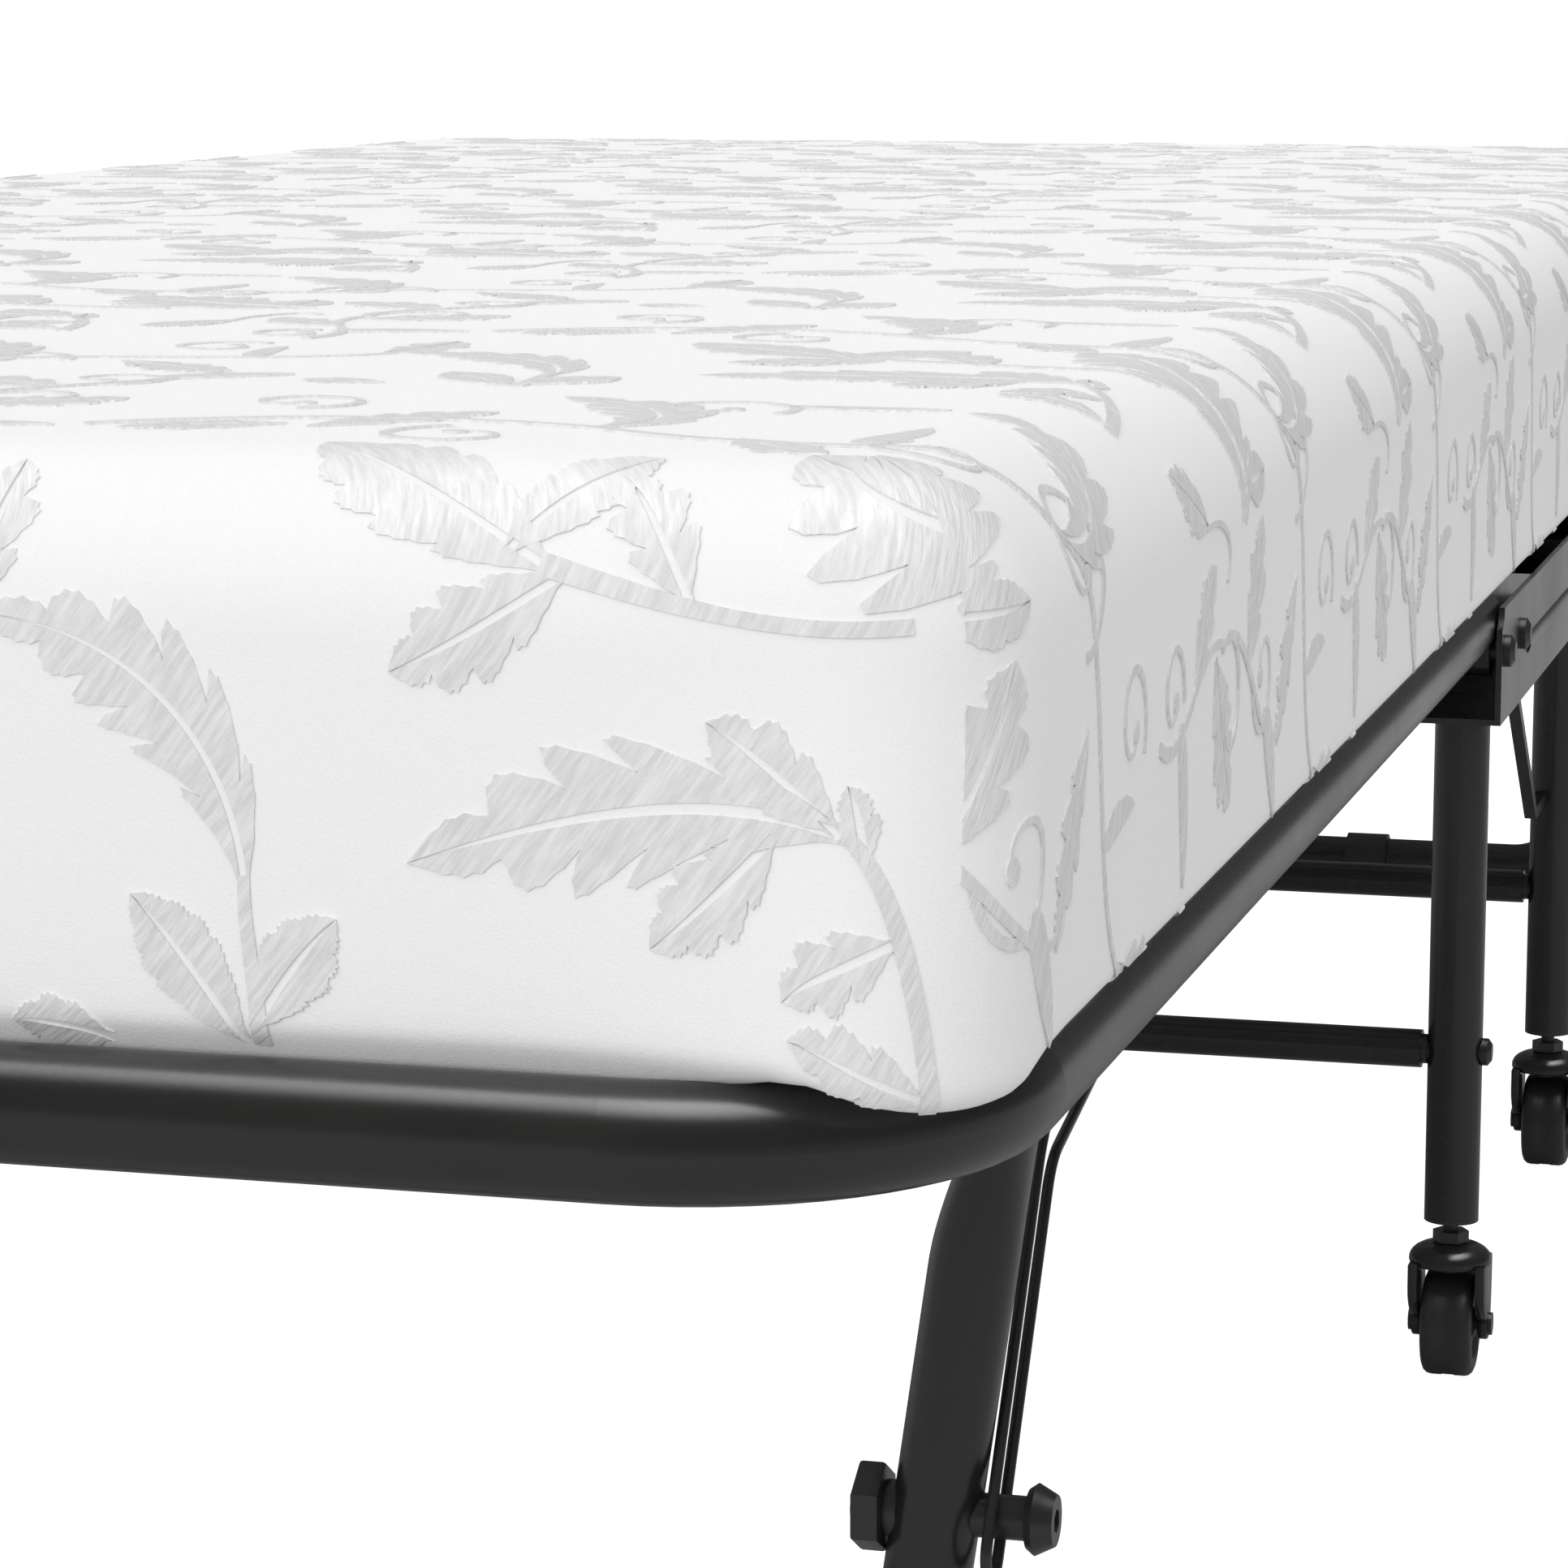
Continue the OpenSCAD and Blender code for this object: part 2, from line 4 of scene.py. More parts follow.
import bmesh
import bpy
import numpy as np
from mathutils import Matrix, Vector


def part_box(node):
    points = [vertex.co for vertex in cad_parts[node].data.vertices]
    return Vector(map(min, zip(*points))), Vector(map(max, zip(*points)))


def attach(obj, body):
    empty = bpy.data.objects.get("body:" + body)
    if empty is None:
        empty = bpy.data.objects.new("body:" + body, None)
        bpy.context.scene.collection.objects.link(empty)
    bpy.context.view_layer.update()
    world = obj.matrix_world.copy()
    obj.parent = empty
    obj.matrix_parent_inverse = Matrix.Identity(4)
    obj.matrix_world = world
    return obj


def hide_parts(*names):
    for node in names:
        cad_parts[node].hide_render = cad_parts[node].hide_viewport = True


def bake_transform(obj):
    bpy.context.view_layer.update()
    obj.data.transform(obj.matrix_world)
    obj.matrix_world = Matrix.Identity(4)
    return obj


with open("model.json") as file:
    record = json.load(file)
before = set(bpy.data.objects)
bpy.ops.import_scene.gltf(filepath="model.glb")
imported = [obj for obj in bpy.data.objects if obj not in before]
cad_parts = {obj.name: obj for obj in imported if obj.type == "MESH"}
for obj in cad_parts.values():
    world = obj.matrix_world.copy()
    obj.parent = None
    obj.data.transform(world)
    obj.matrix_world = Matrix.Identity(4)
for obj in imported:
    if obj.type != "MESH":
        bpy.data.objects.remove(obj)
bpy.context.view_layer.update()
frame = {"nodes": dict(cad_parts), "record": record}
nodes = frame["nodes"]
mm = 0.001
print("frame:", len(nodes), "CAD nodes")

# the view, and the light around it
view = {"place": (0.5780, -1.8033, 0.4840), "pitch": 9.41, "yaw": 14.99, "lens": 110.2}
light = {
    "overhead": 0.92, "horizon": 0.72, "keyStrength": 0.84, "keyAngle": 40, "keyFrom": (-0.25, -0.87, 0.35),
    "glossHigh": 9.0, "glossLow": 0.12, "glossFrom": 0.82, "glossTo": 0.99,
    "softFrom": 0.05, "softTo": 0.75, "floorGlow": 0.94, "floorTone": 0.55, "floorHalf": 12, "floorZ": -0.0005,
}

camera = bpy.data.objects.new("camera", bpy.data.cameras.new("camera"))
camera.data.lens = view["lens"]
camera.data.sensor_width = 36
camera.data.clip_end = 50
camera.location = view["place"]
camera.rotation_euler = (math.radians(90 - view["pitch"]), 0, math.radians(view["yaw"]))
bpy.context.collection.objects.link(camera)
bpy.context.scene.camera = camera
bpy.context.scene.view_settings.view_transform = "Standard"


# mirror-like rays see a bright panel straight above a dim room, all other rays see an even glow
def makeSky():
    world = bpy.data.worlds.new("studio")
    bpy.context.scene.world = world
    world.use_nodes = True
    tree = world.node_tree
    tree.nodes.clear()
    out = tree.nodes.new("ShaderNodeOutputWorld")
    path = tree.nodes.new("ShaderNodeLightPath")
    place = tree.nodes.new("ShaderNodeTexCoord")
    split = tree.nodes.new("ShaderNodeSeparateXYZ")
    tree.links.new(place.outputs["Generated"], split.inputs[0])
    up = split.outputs["Z"]
    soft = rampNode(tree, up, light["softFrom"], light["softTo"], light["horizon"], light["overhead"])
    panel = rampNode(tree, up, light["glossFrom"], light["glossTo"], light["glossLow"], light["glossHigh"])
    shown = tree.nodes.new("ShaderNodeMix")
    tree.links.new(path.outputs["Is Glossy Ray"], shown.inputs[0])
    tree.links.new(soft, shown.inputs[2])
    tree.links.new(panel, shown.inputs[3])
    lit = tree.nodes.new("ShaderNodeBackground")
    seen = tree.nodes.new("ShaderNodeBackground")
    mix = tree.nodes.new("ShaderNodeMixShader")
    tree.links.new(shown.outputs[0], lit.inputs["Strength"])
    for sky, socket in ((lit, 1), (seen, 2)):
        sky.inputs["Color"].default_value = (1, 1, 1, 1)
        tree.links.new(sky.outputs[0], mix.inputs[socket])
    tree.links.new(path.outputs["Is Camera Ray"], mix.inputs[0])
    tree.links.new(mix.outputs[0], out.inputs["Surface"])


def makeKey():
    sun = bpy.data.objects.new("keyLight", bpy.data.lights.new("keyLight", "SUN"))
    sun.data.energy = light["keyStrength"]
    sun.data.angle = math.radians(light["keyAngle"])
    sun.visible_glossy = False
    sun.rotation_euler = Vector(light["keyFrom"]).to_track_quat("Z", "Y").to_euler()
    bpy.context.collection.objects.link(sun)


def nodeGroup(name, inputs, outputs):
    tree = bpy.data.node_groups.new(name, "ShaderNodeTree")
    for label, kind, value in inputs:
        socket = tree.interface.new_socket(name=label, in_out="INPUT", socket_type=kind)
        if value is not None:
            socket.default_value = value
    for label, kind in outputs:
        tree.interface.new_socket(name=label, in_out="OUTPUT", socket_type=kind)
    return tree, tree.nodes.new("NodeGroupInput"), tree.nodes.new("NodeGroupOutput")


def mathNode(tree, kind, a, b=None):
    node = tree.nodes.new("ShaderNodeMath")
    node.operation = kind
    for slot, value in ((0, a), (1, b)):
        if value is None:
            continue
        if isinstance(value, (int, float)):
            node.inputs[slot].default_value = value
        else:
            tree.links.new(value, node.inputs[slot])
    return node.outputs[0]


def rampNode(tree, factor, low, high, lowValue, highValue):
    node = tree.nodes.new("ShaderNodeMapRange")
    for label, value in (("From Min", low), ("From Max", high), ("To Min", lowValue), ("To Max", highValue)):
        if isinstance(value, (int, float)):
            node.inputs[label].default_value = value
        else:
            tree.links.new(value, node.inputs[label])
    tree.links.new(factor, node.inputs["Value"])
    return node.outputs["Result"]


def mixColours(tree, factor, a, b):
    node = tree.nodes.new("ShaderNodeMix")
    node.data_type = "RGBA"
    tree.links.new(factor, node.inputs[0])
    for slot, value in ((6, a), (7, b)):
        if isinstance(value, tuple):
            node.inputs[slot].default_value = value
        else:
            tree.links.new(value, node.inputs[slot])
    return node.outputs[2]


makeSky()
makeKey()


# a coat of paint: fine orange peel, slow drift in tone, and small rubbed spots
def makeCoatGroup():
    tree, get, put = nodeGroup(
        "paintCoat",
        [("Vector", "NodeSocketVector", None), ("Peel Scale", "NodeSocketFloat", 900.0),
         ("Base", "NodeSocketColor", (0.02, 0.02, 0.02, 1)),
         ("Worn", "NodeSocketColor", (0.05, 0.05, 0.05, 1)),
         ("Gloss Low", "NodeSocketFloat", 0.3), ("Gloss High", "NodeSocketFloat", 0.42)],
        [("Color", "NodeSocketColor"), ("Roughness", "NodeSocketFloat"), ("Height", "NodeSocketFloat")])
    peel = tree.nodes.new("ShaderNodeTexNoise")
    peel.inputs["Detail"].default_value = 3
    drift = tree.nodes.new("ShaderNodeTexNoise")
    drift.inputs["Scale"].default_value = 14
    drift.inputs["Detail"].default_value = 5
    specks = tree.nodes.new("ShaderNodeTexNoise")
    specks.inputs["Scale"].default_value = 130
    specks.inputs["Detail"].default_value = 6
    for texture in (peel, drift, specks):
        tree.links.new(get.outputs["Vector"], texture.inputs["Vector"])
    tree.links.new(get.outputs["Peel Scale"], peel.inputs["Scale"])
    rubbed = rampNode(tree, specks.outputs["Fac"], 0.62, 0.80, 0.0, 1.0)
    toned = rampNode(tree, drift.outputs["Fac"], 0.35, 0.70, 0.0, 0.5)
    worn = mathNode(tree, "MAXIMUM", rubbed, toned)
    tree.links.new(mixColours(tree, worn, get.outputs["Base"], get.outputs["Worn"]), put.inputs["Color"])
    tree.links.new(
        rampNode(tree, drift.outputs["Fac"], 0.3, 0.7, get.outputs["Gloss Low"], get.outputs["Gloss High"]),
        put.inputs["Roughness"])
    tree.links.new(peel.outputs["Fac"], put.inputs["Height"])
    return tree


# woven cloth: crossed threads of a given pitch, with long satin floats that run across one diagonal
def makeClothGroup():
    tree, get, put = nodeGroup(
        "wovenCloth",
        [("Vector", "NodeSocketVector", None), ("Thread Scale", "NodeSocketFloat", 1400.0),
         ("Float Scale", "NodeSocketFloat", 700.0), ("Dark", "NodeSocketColor", (0.8, 0.8, 0.8, 1)),
         ("Light", "NodeSocketColor", (0.9, 0.9, 0.9, 1)), ("Float Share", "NodeSocketFloat", 0.0)],
        [("Color", "NodeSocketColor"), ("Height", "NodeSocketFloat"), ("Floats", "NodeSocketFloat")])
    threads = tree.nodes.new("ShaderNodeTexVoronoi")
    tree.links.new(get.outputs["Vector"], threads.inputs["Vector"])
    tree.links.new(get.outputs["Thread Scale"], threads.inputs["Scale"])
    across = tree.nodes.new("ShaderNodeVectorMath")
    across.operation = "DOT_PRODUCT"
    across.inputs[1].default_value = (0.8, 0.8, -0.6)
    drawnOut = tree.nodes.new("ShaderNodeVectorMath")
    drawnOut.operation = "SCALE"
    drawnOut.inputs["Scale"].default_value = 0.12
    floats = tree.nodes.new("ShaderNodeTexNoise")
    floats.noise_dimensions = "4D"
    floats.inputs["Detail"].default_value = 3
    floats.inputs["Roughness"].default_value = 0.6
    for helper in (across, drawnOut):
        tree.links.new(get.outputs["Vector"], helper.inputs[0])
    tree.links.new(across.outputs["Value"], floats.inputs["W"])
    tree.links.new(drawnOut.outputs["Vector"], floats.inputs["Vector"])
    tree.links.new(get.outputs["Float Scale"], floats.inputs["Scale"])
    streak = rampNode(tree, floats.outputs["Fac"], 0.34, 0.66, 0.0, 1.0)
    grain = rampNode(tree, threads.outputs["Distance"], 0.0, 0.6, 0.3, 1.0)
    blend = tree.nodes.new("ShaderNodeMix")
    tree.links.new(get.outputs["Float Share"], blend.inputs[0])
    tree.links.new(grain, blend.inputs[2])
    tree.links.new(streak, blend.inputs[3])
    toned = mixColours(tree, blend.outputs[0], get.outputs["Dark"], get.outputs["Light"])
    tree.links.new(toned, put.inputs["Color"])
    tree.links.new(blend.outputs[0], put.inputs["Height"])
    tree.links.new(streak, put.inputs["Floats"])
    return tree


coatGroup = makeCoatGroup()
clothGroup = makeClothGroup()


def startMaterial(name, group, values):
    material = bpy.data.materials.new(name)
    material.use_nodes = True
    tree = material.node_tree
    shader = tree.nodes["Principled BSDF"]
    place = tree.nodes.new("ShaderNodeTexCoord")
    effect = tree.nodes.new("ShaderNodeGroup")
    effect.node_tree = group
    tree.links.new(place.outputs["Object"], effect.inputs["Vector"])
    for label, value in values.items():
        effect.inputs[label].default_value = value
    tree.links.new(effect.outputs["Color"], shader.inputs["Base Color"])
    return material, tree, shader, effect


def addBump(tree, shader, height, distance, strength):
    bump = tree.nodes.new("ShaderNodeBump")
    bump.inputs["Distance"].default_value = distance
    bump.inputs["Strength"].default_value = strength
    tree.links.new(height, bump.inputs["Height"])
    tree.links.new(bump.outputs["Normal"], shader.inputs["Normal"])


def grey(value, warm=0.0):
    return (value * (1 + warm), value, value * (1 - warm), 1)


# tone, tone where rubbed, roughness from and to, orange peel scale and depth
coats = {
    "frame_paint": dict(base=grey(0.013, 0.05), worn=grey(0.020, 0.06), gloss=(0.22, 0.30), peel=700, depth=0.04),
    "wire": dict(base=grey(0.019, 0.03), worn=grey(0.034, 0.04), gloss=(0.32, 0.42), peel=900, depth=0.04),
    "rod_black": dict(base=grey(0.016), worn=grey(0.040, 0.03), gloss=(0.24, 0.36), peel=1600, depth=0.03),
    "bolt_black": dict(base=grey(0.015), worn=grey(0.045, 0.02), gloss=(0.26, 0.40), peel=1800, depth=0.05),
    "caster_black": dict(base=grey(0.014), worn=grey(0.030, 0.02), gloss=(0.18, 0.28), peel=1200, depth=0.03),
    "wheel_black": dict(base=grey(0.015), worn=grey(0.036, 0.02), gloss=(0.34, 0.48), peel=2200, depth=0.06),
    "glide_plastic": dict(base=grey(0.016), worn=grey(0.032, 0.02), gloss=(0.40, 0.52), peel=2400, depth=0.08),
}


def makeCoat(slot):
    c = coats[slot]
    values = {"Peel Scale": float(c["peel"]), "Base": c["base"], "Worn": c["worn"],
              "Gloss Low": c["gloss"][0], "Gloss High": c["gloss"][1]}
    material, tree, shader, effect = startMaterial(slot + "Coat", coatGroup, values)
    tree.links.new(effect.outputs["Roughness"], shader.inputs["Roughness"])
    addBump(tree, shader, effect.outputs["Height"], 0.0004, c["depth"])
    return material


coatMaterials = {slot: makeCoat(slot) for slot in coats}

cloth = {"plainLight": grey(0.93), "plainDark": grey(0.895), "leafLight": grey(0.86), "leafDark": grey(0.67)}


def makePlainCloth():
    values = {"Thread Scale": 1500.0, "Float Scale": 500.0, "Dark": cloth["plainDark"],
              "Light": cloth["plainLight"], "Float Share": 0.15}
    material, tree, shader, effect = startMaterial("plainTicking", clothGroup, values)
    shader.inputs["Roughness"].default_value = 0.82
    shader.inputs["Specular IOR Level"].default_value = 0.12
    shader.inputs["Sheen Weight"].default_value = 0.15
    addBump(tree, shader, effect.outputs["Height"], 0.0003, 0.25)
    return material


def makeLeafCloth():
    values = {"Thread Scale": 1500.0, "Float Scale": 900.0, "Dark": cloth["leafDark"],
              "Light": cloth["leafLight"], "Float Share": 0.85}
    material, tree, shader, effect = startMaterial("satinLeaf", clothGroup, values)
    roughness = rampNode(tree, effect.outputs["Floats"], 0.0, 1.0, 0.52, 0.38)
    tree.links.new(roughness, shader.inputs["Roughness"])
    shader.inputs["Specular IOR Level"].default_value = 0.4
    addBump(tree, shader, effect.outputs["Height"], 0.0004, 0.35)
    return material


plainTicking = makePlainCloth()
satinLeaf = makeLeafCloth()
materialFor = dict(coatMaterials, ticking=plainTicking)
for row in frame["record"]["subparts"]:
    node = nodes[row["node"]]
    node.data.materials.clear()
    node.data.materials.append(materialFor[row["material_slot"]])
print("materials:", len(materialFor) + 1)

def makeFloor():
    mesh = bpy.data.meshes.new("floor")
    half, z = light["floorHalf"], light["floorZ"]
    corners = [(-half, -half, z), (half, -half, z), (half, half, z), (-half, half, z)]
    mesh.from_pydata(corners, [], [(0, 1, 2, 3)])
    floor = bpy.data.objects.new("floor", mesh)
    bpy.context.collection.objects.link(floor)
    material = bpy.data.materials.new("paleFloor")
    material.use_nodes = True
    tree = material.node_tree
    shader = tree.nodes["Principled BSDF"]
    shader.inputs["Base Color"].default_value = grey(light["floorTone"])
    shader.inputs["Roughness"].default_value = 1.0
    shader.inputs["Specular IOR Level"].default_value = 0.0
    shader.inputs["Emission Color"].default_value = (1, 1, 1, 1)
    path = tree.nodes.new("ShaderNodeLightPath")
    glow = rampNode(tree, path.outputs["Is Camera Ray"], 0.0, 1.0, 0.0, light["floorGlow"])
    tree.links.new(glow, shader.inputs["Emission Strength"])
    mesh.materials.append(material)


makeFloor()

# the mattress, in mm
foam = {
    "halfX": 392.5, "halfY": 955.0, "low": 281.5, "top": 396.0,
    "cornerR": 34.0, "topR": 32.0, "bottomR": 7.0,
    "crown": 1.6, "endBelly": 1.2, "sideBelly": 0.8, "cornerBulge": 7.0, "cornerDroop": 6.5, "endSag": 4.5,
    "tubeBendX": 317.5, "tubeBendY": 894.5, "tubeBendR": 66.0,
    "bendFrom": 104, "bendTo": 224, "bendStep": 10,
    "cutsX": [40, 120, 200, 260, 290, 305, 320, 335, 348, 356],
    "cutsY": list(range(260, 860, 60)) + [860, 875, 890, 905, 917, 930, 940],
    "cutsZ": [292, 300, 309, 318, 327, 336, 345, 354, 361],
}


bendCuts = list(range(foam["bendFrom"], foam["bendTo"] + 1, foam["bendStep"]))


def smooth(t):
    t = np.clip(t, 0, 1)
    return t * t * (3 - 2 * t)


# 0 up to start, then a soft rise to 1 over run
def fade(value, start, run):
    return smooth((value - start) / run)


# what the foam does under its own weight and against the bent frame tube; co in mm
def settleFoam(co):
    x, y, z = co[:, 0].copy(), co[:, 1].copy(), co[:, 2].copy()
    awayX, awayY = np.abs(x), np.abs(y)
    rise = (z - foam["low"]) / (foam["top"] - foam["low"])
    inner = np.clip(1 - (x / foam["halfX"]) ** 4, 0, 1) * np.clip(1 - (y / foam["halfY"]) ** 8, 0, 1)
    sign = np.where(y < 0, -1.0, 1.0)
    side = np.where(x < 0, -1.0, 1.0)
    out = co.copy()
    out[:, 2] += foam["crown"] * inner * smooth(rise)
    belly = np.sin(np.clip(rise, 0, 1) * math.pi)
    out[:, 1] += sign * fade(awayY, 900, 50) * foam["endBelly"] * belly
    out[:, 0] += side * fade(awayX, 350, 40) * foam["sideBelly"] * belly
    corner = fade(awayX, 290, 85) * fade(awayY, 860, 85)
    out[:, 1] += sign * foam["cornerBulge"] * corner * smooth(1 - rise / 0.75)
    pastX, pastY = np.maximum(awayX - foam["tubeBendX"], 0), np.maximum(awayY - foam["tubeBendY"], 0)
    overTube = fade(np.hypot(pastX, pastY), foam["tubeBendR"], 16) * fade(awayX, 300, 50)
    nearEnd = fade(awayY, 878, 35) * smooth((953.5 - awayY) / 5)
    behindTube = nearEnd * smooth((345 - awayX) / 20)
    out[:, 2] -= foam["endSag"] * behindTube * smooth(1 - rise / 0.2)
    out[:, 2] -= foam["cornerDroop"] * overTube * smooth(1 - rise / 0.45)
    return out


def cutAt(bm, point, normal):
    geom = bm.verts[:] + bm.edges[:] + bm.faces[:]
    bmesh.ops.bisect_plane(bm, geom=geom, dist=1e-4, plane_co=point, plane_no=normal)


def keepSide(bm, point, normal):
    geom = bm.verts[:] + bm.edges[:] + bm.faces[:]
    bmesh.ops.bisect_plane(bm, geom=geom, dist=1e-4, plane_co=point, plane_no=normal, clear_outer=True)


def toObject(bm, name, material):
    mesh = bpy.data.meshes.new(name)
    bm.to_mesh(mesh)
    bm.free()
    mesh.materials.append(material)
    made = bpy.data.objects.new(name, mesh)
    bpy.context.collection.objects.link(made)
    return made


def smoothShade(made, angle=35):
    made.data.polygons.foreach_set("use_smooth", [True] * len(made.data.polygons))
    made.data.set_sharp_from_angle(angle=math.radians(angle))


def foamBlock():
    bm = bmesh.new()
    bmesh.ops.create_cube(bm, size=2)
    height = foam["top"] - foam["low"]
    for v in bm.verts:
        level = foam["low"] + (v.co.z + 1) / 2 * height
        v.co = Vector((v.co.x * foam["halfX"], v.co.y * foam["halfY"], level))
    upright = [e for e in bm.edges if abs(e.verts[0].co.z - e.verts[1].co.z) > 1]
    bmesh.ops.bevel(bm, geom=upright, offset=foam["cornerR"], segments=16, profile=0.5, affect="EDGES")
    for level, radius, steps in ((foam["top"], foam["topR"], 12), (foam["low"], foam["bottomR"], 6)):
        rim = [e for e in bm.edges if all(abs(v.co.z - level) < 0.01 for v in e.verts)]
        bmesh.ops.bevel(bm, geom=rim, offset=radius, segments=steps, profile=0.5, affect="EDGES")
    for x in foam["cutsX"]:
        for s in (-1, 1):
            cutAt(bm, (s * x, 0, 0), (1, 0, 0))
    for y in bendCuts + foam["cutsY"]:
        for s in (-1, 1):
            cutAt(bm, (0, s * y, 0), (0, 1, 0))
    for z in foam["cutsZ"]:
        cutAt(bm, (0, 0, z), (0, 0, 1))
    return bm


def halfMattress(whole, end):
    bm = whole.copy()
    keepSide(bm, (0, 0, 0), (0, -end, 0))
    bmesh.ops.holes_fill(bm, edges=[e for e in bm.edges if e.is_boundary], sides=0)
    bmesh.ops.recalc_face_normals(bm, faces=bm.faces[:])
    co = settleFoam(np.array([v.co for v in bm.verts]))
    for v, p in zip(bm.verts, co):
        v.co = Vector(p) * mm
    made = toObject(bm, "mattress" + ("Foot", "Head")[end > 0], plainTicking)
    smoothShade(made, 60)
    return made


whole = foamBlock()
mattress = {end: halfMattress(whole, end) for end in (-1, 1)}
whole.free()
print("mattress:", [len(m.data.polygons) for m in mattress.values()], "faces")

# the leaf pattern: flat shapes in mm, repeated, cut and wrapped over the foam;
# proud and buried are its heights above and below the foam's surface
leafwork = {
    "pitchX": 300.0, "pitchY": 262.0, "columns": 5, "rows": 11, "shiftX": 49.0, "shiftY": -9.0,
    "proud": 0.42, "buried": 0.9, "layer": 0.03, "sawtooth": 0.35, "budWide": 2.6, "budHigh": 2.2,
}


def bezier(a, b, c, d, steps):
    a, b, c, d = (np.array(p, float) for p in (a, b, c, d))
    t = np.linspace(0, 1, steps)[:, None]
    return (1 - t) ** 3 * a + 3 * (1 - t) ** 2 * t * b + 3 * (1 - t) * t * t * c + t ** 3 * d


def normals(points):
    run = np.gradient(points, axis=0)
    run /= np.maximum(np.linalg.norm(run, axis=1), 1e-9)[:, None]
    return np.stack([-run[:, 1], run[:, 0]], axis=1)


# a stem: a band along a line, widths in mm at its start, middle and end
def band(points, start, middle, end):
    t = np.linspace(0, 1, len(points))
    width = np.interp(t, [0, 0.5, 1], [start, middle, end])[:, None] / 2
    n = normals(points)
    return np.vstack([points + n * width, (points - n * width)[::-1]])


# half a leaf: lobes that lean towards the tip, with a fine woven sawtooth on the edge
def leafHalf(spine, width, lobes, side, gap, lean, bite):
    n = normals(spine) * side
    t = np.linspace(0, 1, len(spine))
    inner = spine + n * (gap * (1 - t ** 3))[:, None]
    steps = lobes * 9 + 1
    u = np.linspace(0.0, 1.0, steps)
    phase = (u * lobes) % 1.0
    phase[-1] = 1.0
    rise = np.maximum(np.sin(math.pi * phase ** 1.35), 0) ** 0.6
    envelope = np.sin(math.pi * np.clip(u, 0, 1) ** 0.8) ** 0.75
    offset = width * envelope * (1 - bite + bite * rise)
    tooth = leafwork["sawtooth"]
    saw = np.where(np.arange(steps) % 2 == 0, tooth, -tooth) * (envelope > 0.25)
    offset = np.maximum(offset + saw, 0.0)
    along = np.clip(u + lean * offset / max(width, 1) * (1 - u), 0, 1)
    index = along * (len(spine) - 1)
    low = np.clip(index.astype(int), 0, len(spine) - 2)
    part = (index - low)[:, None]
    base = spine[low] * (1 - part) + spine[low + 1] * part
    direction = n[low] * (1 - part) + n[low + 1] * part
    outer = base + direction * offset[:, None]
    outer = outer[offset > gap * 0.6]
    return np.vstack([inner, outer[::-1]])


def turned(points, place, angle):
    a = math.radians(angle)
    spin = np.array([[math.cos(a), -math.sin(a)], [math.sin(a), math.cos(a)]])
    return np.asarray(points, float) @ spin.T + np.array(place, float)


def leafAt(place, angle, length, width, curl, lobes=4, bite=0.5, lean=0.22, gap=0.9):
    spine = bezier((0, 0), (length * 0.35, curl * 0.15), (length * 0.75, curl * 0.45), (length, curl), 26)
    spine = turned(spine, place, angle)
    return [leafHalf(spine, width, lobes, side, gap, lean, bite) for side in (1, -1)]


def bladeAt(place, angle, length, width, curl):
    steps = 22
    spine = bezier((0, 0), (length * 0.3, 0), (length * 0.8, curl * 0.5), (length, curl), steps)
    spine = turned(spine, place, angle)
    t = np.linspace(0, 1, steps)
    half = (width / 2 * np.sin(math.pi * t ** 0.7) ** 0.8 + 0.15)[:, None]
    n = normals(spine)
    saw = np.where(np.arange(steps) % 2 == 0, 0.3, -0.1)[:, None]
    return [np.vstack([spine + n * (half + saw * (half > 1)), (spine - n * half)[::-1]])]


def stemBetween(a, b, bendA, bendB, width=3.0, taper=1.2):
    a, b = np.array(a, float), np.array(b, float)
    run = b - a
    across = np.array([-run[1], run[0]])
    line = bezier(a, a + run * 0.33 + across * bendA, a + run * 0.66 + across * bendB, b, 26)
    return [band(line, width, (width + taper) / 2, taper)]


def scrollAt(place, angle, radius, turns, width=2.6, side=1):
    t = np.linspace(0, 1, int(30 * turns) + 8)
    spin = t * turns * 2 * math.pi
    r = radius * (1 - 0.72 * t)
    line = np.stack([r * np.sin(spin), side * (radius - r * np.cos(spin))], axis=1)
    head = line[-1]
    shapes = [band(turned(line, place, angle), width, width * 0.8, 0.9)]
    a = np.linspace(0, 2 * math.pi, 13)[:-1]
    bud = np.stack([leafwork["budWide"] * np.cos(a), leafwork["budHigh"] * np.sin(a)], axis=1)
    shapes.append(turned(bud + head, place, angle))
    return shapes


def frondAt(a, b, c, d, width, lobes, bite=0.55, lean=0.3, gap=0.8):
    spine = bezier(a, b, c, d, 44)
    return [leafHalf(spine, width, lobes, side, gap, lean, bite) for side in (1, -1)]


